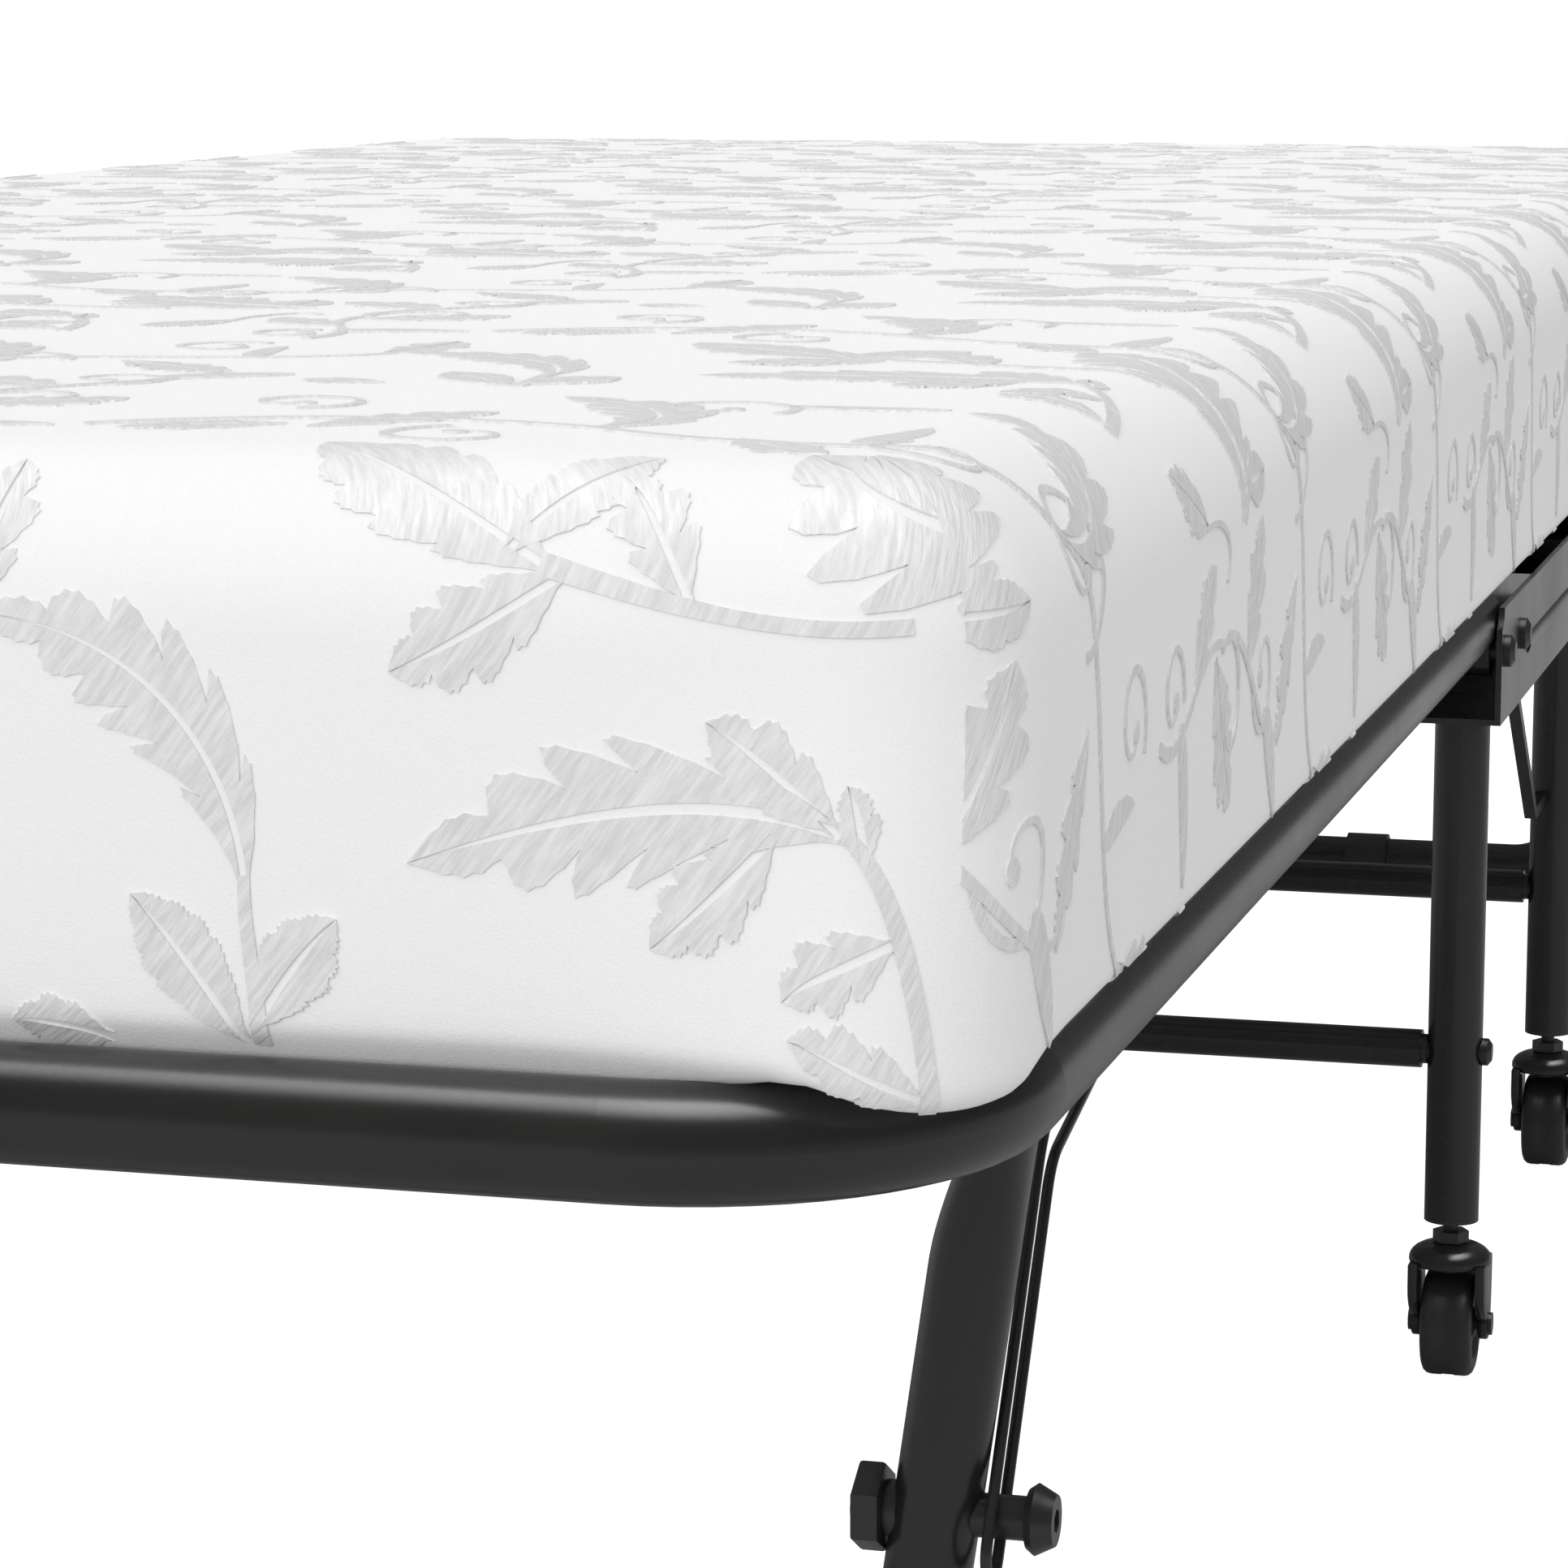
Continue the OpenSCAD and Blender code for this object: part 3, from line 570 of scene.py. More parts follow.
def tileShapes():
    shapes = []
    # lower left: a long curled frond on a stem with two plain leaves
    shapes += frondAt((45, 33), (44, 60), (24, 84), (-10, 85), 12.5, 6, 0.5)
    shapes += stemBetween((47, 2), (45, 36), -0.04, 0.04, 3.6, 2.4)
    shapes += leafAt((44, 3), 122, 36, 8, 4, 5, 0.12)
    shapes += leafAt((46, 6), 62, 28, 8, -5, 4, 0.15)
    shapes += leafAt((16, 2), 158, 20, 6, 5, 3, 0.25)
    # upper middle: a level stem with three leaves, and a broad one over the edge
    shapes += [band(bezier((176, 88), (150, 86), (132, 90), (104, 98), 26), 3.0, 3.0, 4.6)]
    shapes += leafAt((109, 96), 217, 39, 10, -5, 4, 0.40)
    shapes += leafAt((134, 91), 114, 33, 8.5, 5, 3, 0.55)
    shapes += leafAt((106, 97), 152, 66, 14, -7, 5, 0.25)
    shapes += leafAt((97, 100), 60, 36, 9, -8, 3, 0.15)
    # right: the largest leaf, with a wide bare vein
    shapes += frondAt((215, 97), (192, 104), (168, 112), (149, 133), 24, 5, 0.55, 0.34, 1.9)
    shapes += leafAt((206, 102), 84, 26, 7, 4, 2, 0.20)
    # lower middle: a long lobed leaf with two more at its foot, on a stem that bends down
    shapes += frondAt((166, 49), (140, 58), (112, 52), (78, 40), 15, 5, 0.55, 0.34, 1.2)
    shapes += leafAt((163, 50), 134, 32, 8, 5, 3, 0.45)
    shapes += leafAt((151, 49), 230, 33, 9, -4, 4, 0.35)
    shapes += [band(bezier((164, 50), (173, 42), (179, 24), (182, 2), 26), 2.6, 3.4, 3.6)]
    shapes += leafAt((174, 32), 196, 24, 7, 7, 3, 0.50)
    shapes += leafAt((168, 44), 92, 15, 4, 3, 2, 0.35)
    shapes += leafAt((180, 6), 154, 26, 7, 6, 3, 0.45)
    # the corner: a closed flower hanging from a thin stalk
    shapes += leafAt((211, 48), 248, 31, 8, -4, 4, 0.30)
    shapes += [band(bezier((211, 47), (209, 66), (216, 86), (226, 74), 26), 1.4, 1.6, 1.6)]
    # right column: a tall vine with scrolls and blades
    shapes += stemBetween((252, -8), (240, 70), -0.20, 0.16, 3.0, 2.0)
    shapes += stemBetween((240, 70), (270, 150), 0.22, -0.18, 2.8, 1.8)
    shapes += leafAt((246, 34), 150, 34, 9, -8, 3, 0.50)
    shapes += leafAt((242, 60), 20, 40, 12, 10, 4, 0.55)
    shapes += leafAt((250, 104), 140, 38, 11, 9, 3, 0.55)
    shapes += bladeAt((262, 130), 48, 32, 9, -8)
    shapes += bladeAt((250, 16), 28, 34, 8, -10)
    shapes += scrollAt((241, 68), 128, 17, 0.95, 2.4, -1)
    shapes += scrollAt((256, 112), 10, 15, 1.0, 2.2, 1)
    shapes += scrollAt((246, 20), 168, 13, 0.95, 2.0, 1)
    # upper half: a winding vine with slim leaves and scrolls
    shapes += stemBetween((-10, 158), (92, 176), 0.20, 0.22, 2.8, 2.6)
    shapes += stemBetween((92, 176), (196, 166), -0.22, -0.20, 3.2, 2.6)
    shapes += stemBetween((196, 166), (290, 214), 0.16, -0.20, 2.8, 1.8)
    shapes += frondAt((92, 176), (108, 196), (96, 224), (66, 240), 13, 5, 0.60)
    shapes += leafAt((126, 162), -58, 34, 8, 8, 3, 0.55)
    shapes += frondAt((196, 166), (206, 190), (190, 214), (158, 228), 12, 5, 0.60)
    shapes += leafAt((236, 176), -46, 44, 9, 9, 4, 0.55)
    shapes += leafAt((36, 164), 66, 46, 9, -10, 4, 0.55)
    shapes += leafAt((30, 168), 196, 34, 7, 8, 3, 0.50)
    shapes += leafAt((288, 214), 68, 36, 8, 8, 3, 0.55)
    shapes += bladeAt((150, 160), 62, 34, 7, 9)
    shapes += bladeAt((262, 192), 110, 32, 6, -8)
    shapes += bladeAt((118, 232), -8, 34, 6, 8)
    shapes += scrollAt((64, 172), 200, 17, 1.0, 2.4, 1)
    shapes += scrollAt((160, 168), 216, 15, 1.0, 2.2, 1)
    shapes += scrollAt((222, 174), 88, 21, 1.1, 2.6, 1)
    shapes += scrollAt((120, 216), 60, 18, 1.0, 2.4, 1)
    shapes += scrollAt((20, 200), 20, 16, 1.05, 2.2, 1)
    shapes += scrollAt((250, 236), 150, 15, 1.0, 2.2, 1)
    return shapes


def tileObject():
    bm = bmesh.new()
    for count, shape in enumerate(tileShapes()):
        layer = count % 7 * leafwork["layer"]  # shapes that cross lie at their own heights
        area = np.sum(shape[:, 0] * np.roll(shape[:, 1], -1) - np.roll(shape[:, 0], -1) * shape[:, 1])
        ring = shape if area > 0 else shape[::-1]
        bm.faces.new([bm.verts.new((p[0], p[1], layer)) for p in ring])
    bm.normal_update()
    bmesh.ops.triangulate(bm, faces=bm.faces[:], ngon_method="BEAUTY")
    bm.normal_update()
    folded = [f for f in bm.faces if f.calc_area() < 1e-6 or f.normal.z < 0]  # where a curl crosses itself
    bmesh.ops.delete(bm, geom=folded, context="FACES")
    return toObject(bm, "leafTile", satinLeaf)


# repeats one object on a grid whose odd columns drop by half a pitch
def makeRepeatTree():
    tree = bpy.data.node_groups.new("halfDropRepeat", "GeometryNodeTree")
    sockets = {}
    for label, kind in (("Geometry", "NodeSocketGeometry"), ("Tile", "NodeSocketObject"),
                        ("Pitch Across", "NodeSocketFloat"), ("Pitch Along", "NodeSocketFloat"),
                        ("Columns", "NodeSocketInt"), ("Rows", "NodeSocketInt"),
                        ("Material", "NodeSocketMaterial")):
        sockets[label] = tree.interface.new_socket(name=label, in_out="INPUT", socket_type=kind).identifier
    tree.interface.new_socket(name="Geometry", in_out="OUTPUT", socket_type="NodeSocketGeometry")
    get, put = tree.nodes.new("NodeGroupInput"), tree.nodes.new("NodeGroupOutput")

    across, along = get.outputs["Pitch Across"], get.outputs["Pitch Along"]
    grid = tree.nodes.new("GeometryNodeMeshGrid")
    wide = mathNode(tree, "MULTIPLY", across, mathNode(tree, "SUBTRACT", get.outputs["Columns"], 1))
    tree.links.new(wide, grid.inputs["Size X"])
    long = mathNode(tree, "MULTIPLY", along, mathNode(tree, "SUBTRACT", get.outputs["Rows"], 1))
    tree.links.new(long, grid.inputs["Size Y"])
    tree.links.new(get.outputs["Columns"], grid.inputs["Vertices X"])
    tree.links.new(get.outputs["Rows"], grid.inputs["Vertices Y"])
    place = tree.nodes.new("GeometryNodeInputPosition")
    split = tree.nodes.new("ShaderNodeSeparateXYZ")
    tree.links.new(place.outputs[0], split.inputs[0])
    fromSide = mathNode(tree, "ADD", split.outputs["X"], mathNode(tree, "MULTIPLY", wide, 0.5))
    column = mathNode(tree, "ROUND", mathNode(tree, "DIVIDE", fromSide, across))
    odd = mathNode(tree, "MODULO", column, 2)
    drop = mathNode(tree, "MULTIPLY", odd, mathNode(tree, "MULTIPLY", along, 0.5))
    offset = tree.nodes.new("ShaderNodeCombineXYZ")
    tree.links.new(drop, offset.inputs["Y"])
    move = tree.nodes.new("GeometryNodeSetPosition")
    tree.links.new(grid.outputs["Mesh"], move.inputs["Geometry"])
    tree.links.new(offset.outputs[0], move.inputs["Offset"])
    info = tree.nodes.new("GeometryNodeObjectInfo")
    tree.links.new(get.outputs["Tile"], info.inputs["Object"])
    copies = tree.nodes.new("GeometryNodeInstanceOnPoints")
    tree.links.new(move.outputs[0], copies.inputs["Points"])
    tree.links.new(info.outputs["Geometry"], copies.inputs["Instance"])
    real = tree.nodes.new("GeometryNodeRealizeInstances")
    tree.links.new(copies.outputs[0], real.inputs[0])
    finish = tree.nodes.new("GeometryNodeSetMaterial")
    tree.links.new(real.outputs[0], finish.inputs["Geometry"])
    tree.links.new(get.outputs["Material"], finish.inputs["Material"])
    tree.links.new(finish.outputs[0], put.inputs[0])
    return tree, sockets


# runs a tree on an empty object and returns the result as a plain mesh
def meshFromTree(name, tree, sockets, values):
    holder = bpy.data.objects.new(name, bpy.data.meshes.new(name))
    bpy.context.collection.objects.link(holder)
    modifier = holder.modifiers.new(name, "NODES")
    modifier.node_group = tree
    for label, value in values.items():
        modifier[sockets[label]] = value
    bpy.context.view_layer.update()
    shown = holder.evaluated_get(bpy.context.evaluated_depsgraph_get())
    made = bpy.data.meshes.new_from_object(shown)
    holder.modifiers.clear()
    bpy.data.objects.remove(holder)
    return made


tile = tileObject()
repeatTree, repeatSockets = makeRepeatTree()
sheet = meshFromTree("leafSheet", repeatTree, repeatSockets, {
    "Tile": tile, "Pitch Across": leafwork["pitchX"], "Pitch Along": leafwork["pitchY"],
    "Columns": leafwork["columns"], "Rows": leafwork["rows"], "Material": satinLeaf})
bpy.data.objects.remove(tile)
print("leaf sheet:", len(sheet.polygons), "triangles flat")

flatX = foam["halfX"] - foam["topR"]
flatY = foam["halfY"] - foam["topR"]
quarter = math.pi / 2 * foam["topR"]
sideRun = foam["top"] - foam["topR"] - foam["low"] - foam["bottomR"]
lowQuarter = math.pi / 2 * foam["bottomR"]
panelDrop = quarter + sideRun + lowQuarter * 0.8


# distance down over the edge -> how far out from the flat top, height, and the outward lean of the normal
def overEdge(s):
    r, q = foam["topR"], foam["bottomR"]
    a = np.clip(s / r, 0, math.pi / 2)
    b = np.clip((s - quarter - sideRun) / q, 0, math.pi / 2)
    straight = np.clip(s - quarter, 0, sideRun)
    out = r * np.sin(a) - q * (1 - np.cos(b))
    z = foam["top"] - r * (1 - np.cos(a)) - straight - q * np.sin(b)
    flat = np.where(s <= quarter, np.sin(a), np.cos(b))
    up = np.where(s <= quarter, np.cos(a), -np.sin(b))
    return out, z, flat, up


# a side panel: along runs level beside the edge, s down over it; half is the half length of the edge
def wrapSide(along, s, half, lift):
    out, z, flat, up = overEdge(s)
    r = foam["cornerR"]
    turn = np.clip((np.abs(along) - (half - r)) / r, 0, math.pi / 4)
    sign = np.where(along < 0, -1.0, 1.0)
    straight = np.clip(np.abs(along), 0, half - r)
    reach = r - foam["topR"] + out + lift * flat
    level = sign * (straight + np.sin(turn) * reach)
    outward = -r + np.cos(turn) * reach
    return level, outward, z + lift * up


def wrapPanel(panel, flat, lift):
    u, v = flat[:, 0], flat[:, 1]
    if panel == "top":
        return np.stack([u, v, foam["top"] + lift], axis=1)
    axis, sign = panel
    if axis == "y":
        level, outward, z = wrapSide(u, sign * v - flatY, foam["halfX"], lift)
        return np.stack([level, sign * (foam["halfY"] + outward), z], axis=1)
    level, outward, z = wrapSide(v, sign * u - flatX, foam["halfY"], lift)
    return np.stack([sign * (foam["halfX"] + outward), level, z], axis=1)


def panelPlanes(panel, end):
    eighth = math.pi / 4 * foam["cornerR"]
    keep = [((0, 0, 0), (0, -end, 0))]
    cuts = []
    hinge = [end * y for y in bendCuts]
    if panel == "top":
        keep += [((s * flatX, 0, 0), (s, 0, 0)) for s in (-1, 1)]
        keep += [((0, s * flatY, 0), (0, s, 0)) for s in (-1, 1)]
        cuts += [((0, y, 0), (0, 1, 0)) for y in hinge]
        return keep, cuts
    axis, sign = panel
    down = [quarter * k / 8 for k in range(1, 9)] + [quarter + sideRun * k / 7 for k in range(1, 8)]
    down += [quarter + sideRun + lowQuarter * k / 4 for k in (1, 2)]
    if axis == "y":
        limit = foam["halfX"] - foam["cornerR"] + eighth
        keep += [((0, sign * flatY, 0), (0, -sign, 0)), ((0, sign * (flatY + panelDrop), 0), (0, sign, 0))]
        keep += [((s * limit, 0, 0), (s, 0, 0)) for s in (-1, 1)]
        cuts += [((0, sign * (flatY + d), 0), (0, 1, 0)) for d in down]
        across = [290, 305, 320, 335, 348] + [limit - eighth + eighth * k / 5 for k in range(0, 5)]
        cuts += [((s * x, 0, 0), (1, 0, 0)) for x in across for s in (-1, 1)]
        return keep, cuts
    limit = foam["halfY"] - foam["cornerR"] + eighth
    keep += [((sign * flatX, 0, 0), (-sign, 0, 0)), ((sign * (flatX + panelDrop), 0, 0), (sign, 0, 0))]
    keep += [((0, s * limit, 0), (0, s, 0)) for s in (-1, 1)]
    cuts += [((sign * (flatX + d), 0, 0), (1, 0, 0)) for d in down]
    across = [860, 875, 890, 905] + [limit - eighth + eighth * k / 5 for k in range(0, 5)]
    cuts += [((0, end * y, 0), (0, 1, 0)) for y in across] + [((0, y, 0), (0, 1, 0)) for y in hinge]
    return keep, cuts


def leafPanel(panel, end):
    bm = bmesh.new()
    bm.from_mesh(sheet)
    for v in bm.verts:
        v.co.x += leafwork["shiftX"] - leafwork["pitchX"] / 2
        v.co.y += leafwork["shiftY"] - leafwork["pitchY"] / 2
    keep, cuts = panelPlanes(panel, end)
    for point, normal in keep:
        keepSide(bm, point, normal)
    for point, normal in cuts:
        cutAt(bm, point, normal)
    bmesh.ops.dissolve_degenerate(bm, dist=0.02, edges=bm.edges[:])
    bm.verts.index_update()
    flat = np.array([v.co for v in bm.verts]).reshape(-1, 3)
    faces = [[v.index for v in f.verts] for f in bm.faces]
    loops = [e.link_loops[0] for e in bm.edges if len(e.link_loops) == 1]
    rim = [(loop.vert.index, loop.link_loop_next.vert.index) for loop in loops]
    bm.free()
    if not len(flat):
        return np.zeros((0, 3)), []
    count = len(flat)
    layers = flat[:, 2]
    co = np.vstack([wrapPanel(panel, flat, layers + lift) for lift in (leafwork["proud"], -leafwork["buried"])])
    shell = faces + [[i + count for i in f][::-1] for f in faces]
    shell += [[b, a, a + count, b + count] for a, b in rim]
    return settleFoam(co), shell


def leafPiece(end):
    co, shell, start = [], [], 0
    for panel in ("top", ("y", end), ("x", -1), ("x", 1)):
        part, faces = leafPanel(panel, end)
        co.append(part)
        shell += [[i + start for i in f] for f in faces]
        start += len(part)
    mesh = bpy.data.meshes.new("leaves")
    mesh.from_pydata((np.vstack(co) * mm).tolist(), [], shell)
    mesh.materials.append(satinLeaf)
    made = bpy.data.objects.new("leafPattern" + ("Foot", "Head")[end > 0], mesh)
    bpy.context.collection.objects.link(made)
    smoothShade(made, 40)
    return made


# a soft piece lies on the centre section and its end frame; its transform is baked into its mesh and the CAD
# nodes it replaces are hidden
def bendWithFrame(piece, cadNodes):
    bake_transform(piece)
    if cadNodes:
        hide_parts(*cadNodes)


for end in (-1, 1):
    leaves = leafPiece(end)
    print("leaves:", leaves.name, len(leaves.data.polygons), "faces")
    bendWithFrame(leaves, [])
    bendWithFrame(mattress[end], (["mattress_foot", "mattress_centre"], ["mattress_head"])[end > 0])


# a closed tube along a line in mm; sizes are the half widths across the line and along side at each point
def sweep(name, line, across, beside, side, sides, material):
    line = np.asarray(line, float)
    side = np.array(side, float)
    run = np.gradient(line, axis=0)
    run /= np.linalg.norm(run, axis=1)[:, None]
    out = np.cross(side, run)
    out /= np.linalg.norm(out, axis=1)[:, None]
    angle = np.arange(sides) * 2 * math.pi / sides
    ring = (np.cos(angle)[None, :, None] * (out * np.asarray(across)[:, None])[:, None, :]
            + np.sin(angle)[None, :, None] * np.asarray(beside)[:, None, None] * side)
    co = (line[:, None, :] + ring).reshape(-1, 3)
    faces = []
    for i in range(len(line) - 1):
        for k in range(sides):
            j = (k + 1) % sides
            faces.append((i * sides + k, i * sides + j, (i + 1) * sides + j, (i + 1) * sides + k))
    faces.append(tuple(range(sides))[::-1])
    faces.append(tuple((len(line) - 1) * sides + k for k in range(sides)))
    mesh = bpy.data.meshes.new(name)
    mesh.from_pydata((co * mm).tolist(), [], faces)
    mesh.materials.append(material)
    bm = bmesh.new()
    bm.from_mesh(mesh)
    bmesh.ops.recalc_face_normals(bm, faces=bm.faces[:])
    bm.to_mesh(mesh)
    bm.free()
    made = bpy.data.objects.new(name, mesh)
    bpy.context.collection.objects.link(made)
    smoothShade(made, 50)
    return made


# the end legs, each one tube bent to a U
endLeg = {
    "y": 800.0, "r": 10.0, "bendX": 294.0, "footZ": 11.5, "bendR": 36.0, "lean": 8.0,
    "top": 249.0, "pressFrom": 205.0, "topHalf": 12.6, "topThin": 6.8,
}


# the upright keeps its lean to the top; there it is pressed from the inside, so its outer side stays straight
def endLegPiece(end):
    g = endLeg
    lean = math.radians(g["lean"])
    centre = np.array([g["bendX"], g["footZ"] + g["bendR"]])
    turn = np.linspace(0, math.pi / 2 - lean, 18)
    arc = [centre + g["bendR"] * np.array([math.sin(a), -math.cos(a)]) for a in turn]
    straight = np.linspace(arc[-1][1] + 4, g["pressFrom"], 12)
    heights = np.concatenate([straight, np.linspace(g["pressFrom"] + 2, g["top"], 26)])
    press = smooth((heights - g["pressFrom"]) / (g["top"] - g["pressFrom"]))
    thin = g["r"] + (g["topThin"] - g["r"]) * press
    rise = np.column_stack([arc[-1][0] + math.tan(lean) * (heights - arc[-1][1]) + g["r"] - thin, heights])
    half = np.vstack([[(0, g["footZ"]), (150, g["footZ"]), (260, g["footZ"])], arc, rise])
    roundPart = np.full(len(half) - len(rise), g["r"])
    across = np.concatenate([roundPart, thin])
    beside = np.concatenate([roundPart, g["r"] + (g["topHalf"] - g["r"]) * press])
    over = np.clip(half[:, 1] - (g["top"] - g["topHalf"]), 0, g["topHalf"])
    beside = np.minimum(beside, np.sqrt(g["topHalf"] ** 2 - over ** 2) + 1.5)
    line = np.vstack([np.column_stack([-half[::-1, 0], half[::-1, 1]]), half[1:]])
    across = np.concatenate([across[::-1], across[1:]])
    beside = np.concatenate([beside[::-1], beside[1:]])
    path = np.column_stack([line[:, 0], np.full(len(line), end * g["y"]), line[:, 1]])
    name = ("foot", "head")[end > 0]
    made = sweep("endLeg_" + name, path, across, beside, (0, 1, 0), 40, coatMaterials["frame_paint"])
    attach(made, "leg_" + name)
    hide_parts("u_leg_" + name, "leg_tops_" + name)


# the hairpin hanger rods, each bent over at a knee to run along its rail
hanger = {"x": 358.4, "r": 1.35, "slope": 55.0, "rise": 11.0, "tail": 8.0, "knee": 90.5, "bend": 25.0,
          "spread": 6.6, "endY": 585.0, "boltZ": 149.0}


def hangerLine():
    h = hanger
    slope, turn = math.radians(h["slope"]), math.radians(h["slope"] - h["rise"])
    kneeY = -endLeg["y"] + h["knee"] * math.cos(slope)
    tangent = h["bend"] * math.tan(turn / 2)
    straight = h["knee"] + h["tail"] - tangent
    run = (-h["endY"] - kneeY) / math.cos(math.radians(h["rise"])) - tangent
    strand = []
    for side in (1, -1):
        r = h["bend"] + side * h["spread"]
        angles = np.linspace(0, turn, 9)
        bend = [np.array([straight + r * math.sin(a), -h["bend"] + r * math.cos(a)]) for a in angles]
        far = bend[-1] + run * np.array([math.cos(turn), -math.sin(turn)])
        strand.append([np.array([straight * k, side * h["spread"]]) for k in (0.15, 0.5, 0.9)] + bend + [far])
    halfTurn = np.linspace(math.pi / 2, 3 * math.pi / 2, 15)
    loop = [h["spread"] * np.array([math.cos(a), math.sin(a)]) for a in halfTurn]
    flat = np.array(strand[0][::-1] + loop + strand[1]) - np.array([h["tail"], 0])
    return turned(flat, (-endLeg["y"], h["boltZ"]), h["slope"])


def hangerPiece(end):
    flat = hangerLine()
    name = ("foot", "head")[end > 0]
    parts = []
    for side in (-1, 1):
        path = np.column_stack([np.full(len(flat), side * hanger["x"]), -end * flat[:, 0], flat[:, 1]])
        size = np.full(len(path), hanger["r"])
        parts.append(sweep("rod", path, size, size, (1, 0, 0), 12, coatMaterials["rod_black"]))
    joinPieces(parts, "hangerRods_" + name)
    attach(parts[0], "frame_" + name)
    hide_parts("hanger_rods_" + name)


def joinPieces(parts, name):
    with bpy.context.temp_override(active_object=parts[0], selected_editable_objects=parts):
        bpy.ops.object.join()
    parts[0].name = name
    parts[0].data.name = name


# the nuts inside the end legs: hexagons with rounded corners, each on a thin washer
legNut = {
    "radius": 10.39, "length": 6.5, "out": 11.4, "round": 0.9,
    "washer": 6.4, "washerOut": 3.4, "washerRound": 0.3,
}


def finishMesh(bm, name, material, angle=40):
    bmesh.ops.recalc_face_normals(bm, faces=bm.faces[:])
    for v in bm.verts:
        v.co *= mm
    made = toObject(bm, name, material)
    smoothShade(made, angle)
    return made


# a prism along X from an outline in (y, z), its rim rounded
def prismX(outline, x1, x2, rounding, steps=2):
    bm = bmesh.new()
    face = bm.faces.new([bm.verts.new((x1, p[0], p[1])) for p in outline])
    grown = bmesh.ops.extrude_face_region(bm, geom=[face])
    moved = [v for v in grown["geom"] if isinstance(v, bmesh.types.BMVert)]
    bmesh.ops.translate(bm, verts=moved, vec=(x2 - x1, 0, 0))
    rim = [e for e in bm.edges if abs(e.verts[0].co.x - e.verts[1].co.x) < 0.01]
    bmesh.ops.bevel(bm, geom=rim, offset=rounding, segments=steps, profile=0.5, affect="EDGES")
    return bm


def legNutPiece(end):
    g = endLeg
    lean = math.radians(g["lean"])
    startX = g["bendX"] + g["bendR"] * math.cos(lean)
    startZ = g["footZ"] + g["bendR"] * (1 - math.sin(lean))
    axisX = startX + math.tan(lean) * (hanger["boltZ"] - startZ)
    name = ("foot", "head")[end > 0]
    parts = []
    for side in (-1, 1):
        outer = side * (axisX - legNut["out"])
        inner = side * (axisX - legNut["out"] - legNut["length"])
        face = outer + side * legNut["washerOut"]
        for sides, radius, x1, x2, rounding in (
                (6, legNut["radius"], inner, outer, legNut["round"]),
                (32, legNut["washer"], outer, face, legNut["washerRound"])):
            turn = np.arange(sides) * 2 * math.pi / sides + math.pi / 2
            outline = radius * np.stack([np.cos(turn), np.sin(turn)], axis=1) + (end * g["y"], hanger["boltZ"])
            parts.append(finishMesh(prismX(outline, x1, x2, rounding), "nut", coatMaterials["bolt_black"]))
    joinPieces(parts, "legNuts_" + name)
    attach(parts[0], "leg_" + name)
    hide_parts("leg_nuts_" + name)


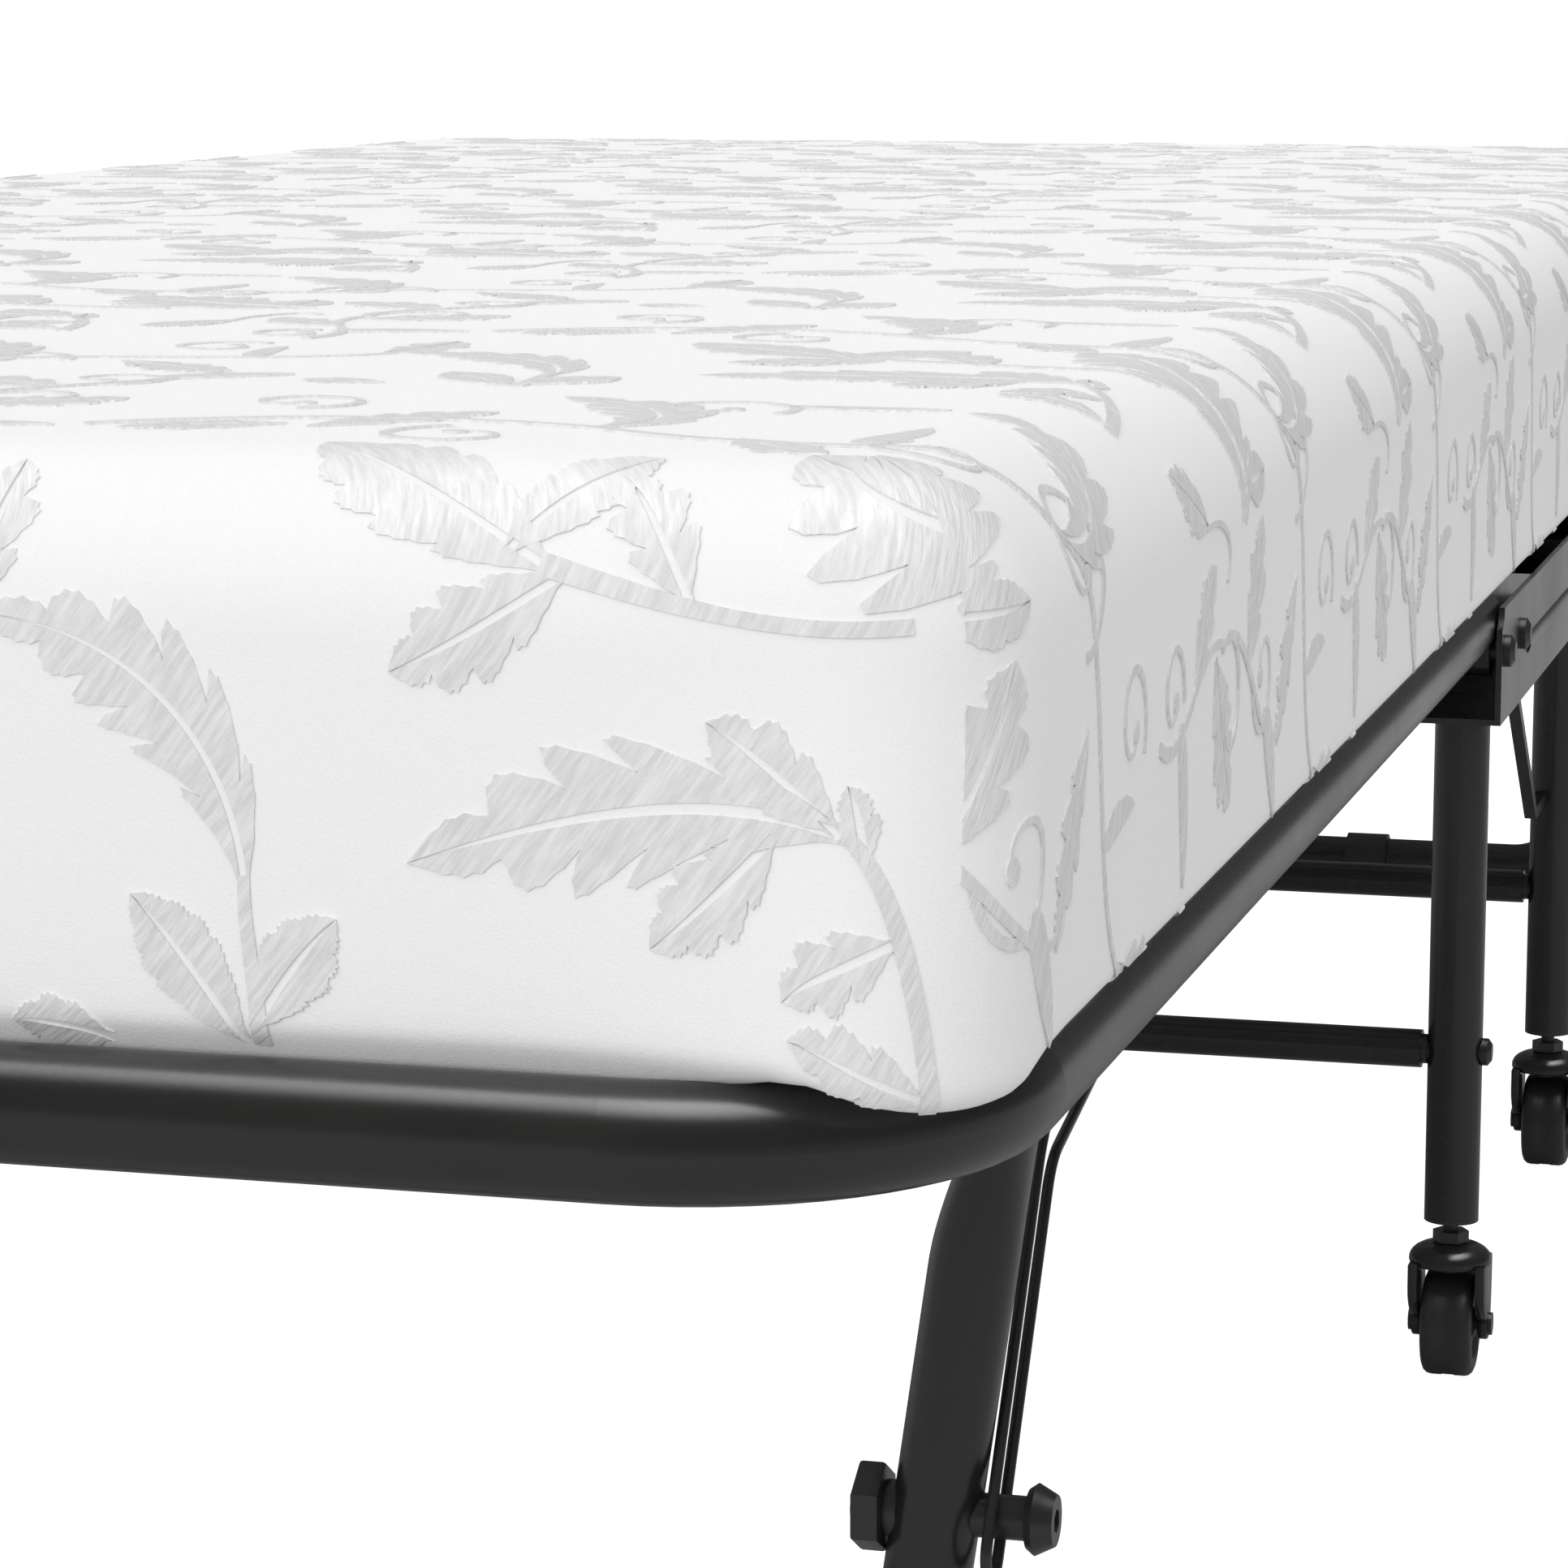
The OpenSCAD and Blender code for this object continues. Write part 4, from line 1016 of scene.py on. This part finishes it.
# casters: a domed cap with two rounded cheeks, and a wheel with a sunk face and round shoulders
caster = {
    "trail": 5.0, "axleZ": 19.0, "cheekIn": 10.0, "cheekOut": 13.5, "cheekRound": 0.8, "earR": 5.6,
    "sides": 48,
    "cap": [(2.72, 41.5), (13.5, 41.5), (14.2, 41.9), (14.5, 42.8), (14.4, 44.3), (13.7, 45.8), (12.4, 47.1),
            (10.4, 48.2), (8.0, 48.9), (5.4, 49.25), (2.72, 49.3)],
    "wheel": [(2.56, 8.7), (4.8, 8.7), (5.5, 8.2), (5.9, 7.3), (11.6, 7.2), (12.2, 7.8), (12.9, 8.7),
              (13.8, 9.0), (16.4, 8.9), (17.8, 8.3), (18.7, 7.2), (19.0, 5.8), (19.0, 2.4), (18.8, 2.0)],
    "arm": [(12.0, 43.2), (12.0, 35.0), (11.8, 31.0), (11.3, 26.0)],
    "armBack": [(-4.0, 23.0), (-8.6, 27.4), (-11.2, 31.0), (-12.0, 35.0), (-12.0, 43.2)],
}


# a closed ring of a profile given as (radius, height) about Z
def lathe(profile, sides):
    bm = bmesh.new()
    rings = []
    for i in range(sides):
        a = i * 2 * math.pi / sides
        rings.append([bm.verts.new((r * math.cos(a), r * math.sin(a), h)) for r, h in profile])
    for i in range(sides):
        here, there = rings[i], rings[(i + 1) % sides]
        for k in range(len(profile)):
            j = (k + 1) % len(profile)
            bm.faces.new((here[k], there[k], there[j], here[j]))
    return bm


def casterPieces(place):
    lowCorner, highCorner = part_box("caster_wheel_" + place)
    middle = (lowCorner + highCorner) / 2 / mm
    ear = [(caster["trail"] + caster["earR"] * math.cos(a), caster["axleZ"] + caster["earR"] * math.sin(a))
           for a in np.linspace(0.15, -math.pi - 0.35, 16)]
    outline = [(y + middle.y - caster["trail"], z) for y, z in caster["arm"] + ear + caster["armBack"]]
    cap = lathe(caster["cap"], caster["sides"])
    bmesh.ops.translate(cap, verts=cap.verts[:], vec=(middle.x, middle.y - caster["trail"], 0))
    parts = [finishMesh(cap, "cap", coatMaterials["caster_black"], 55)]
    for side in (-1, 1):
        x1, x2 = (middle.x + side * caster[key] for key in ("cheekIn", "cheekOut"))
        cheek = prismX(outline, x1, x2, caster["cheekRound"])
        parts.append(finishMesh(cheek, "cheek", coatMaterials["caster_black"]))
    joinPieces(parts, "casterFork_" + place)
    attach(parts[0], "swivel_" + place)
    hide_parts("caster_fork_" + place)
    half = caster["wheel"]
    wheel = lathe(half + [(r, -h) for r, h in half[::-1]], caster["sides"])
    for v in wheel.verts:
        v.co = Vector((v.co.z + middle.x, v.co.x + middle.y, v.co.y + caster["axleZ"]))
    wheel = finishMesh(wheel, "casterWheel_" + place, coatMaterials["wheel_black"], 50)
    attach(wheel, "wheel_" + place)
    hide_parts("caster_wheel_" + place)


for end in (-1, 1):
    endLegPiece(end)
    hangerPiece(end)
    legNutPiece(end)
print("end legs, their nuts and the hanger rods made")
for place in ("foot_right", "foot_left", "head_right", "head_left"):
    casterPieces(place)
print("casters made")
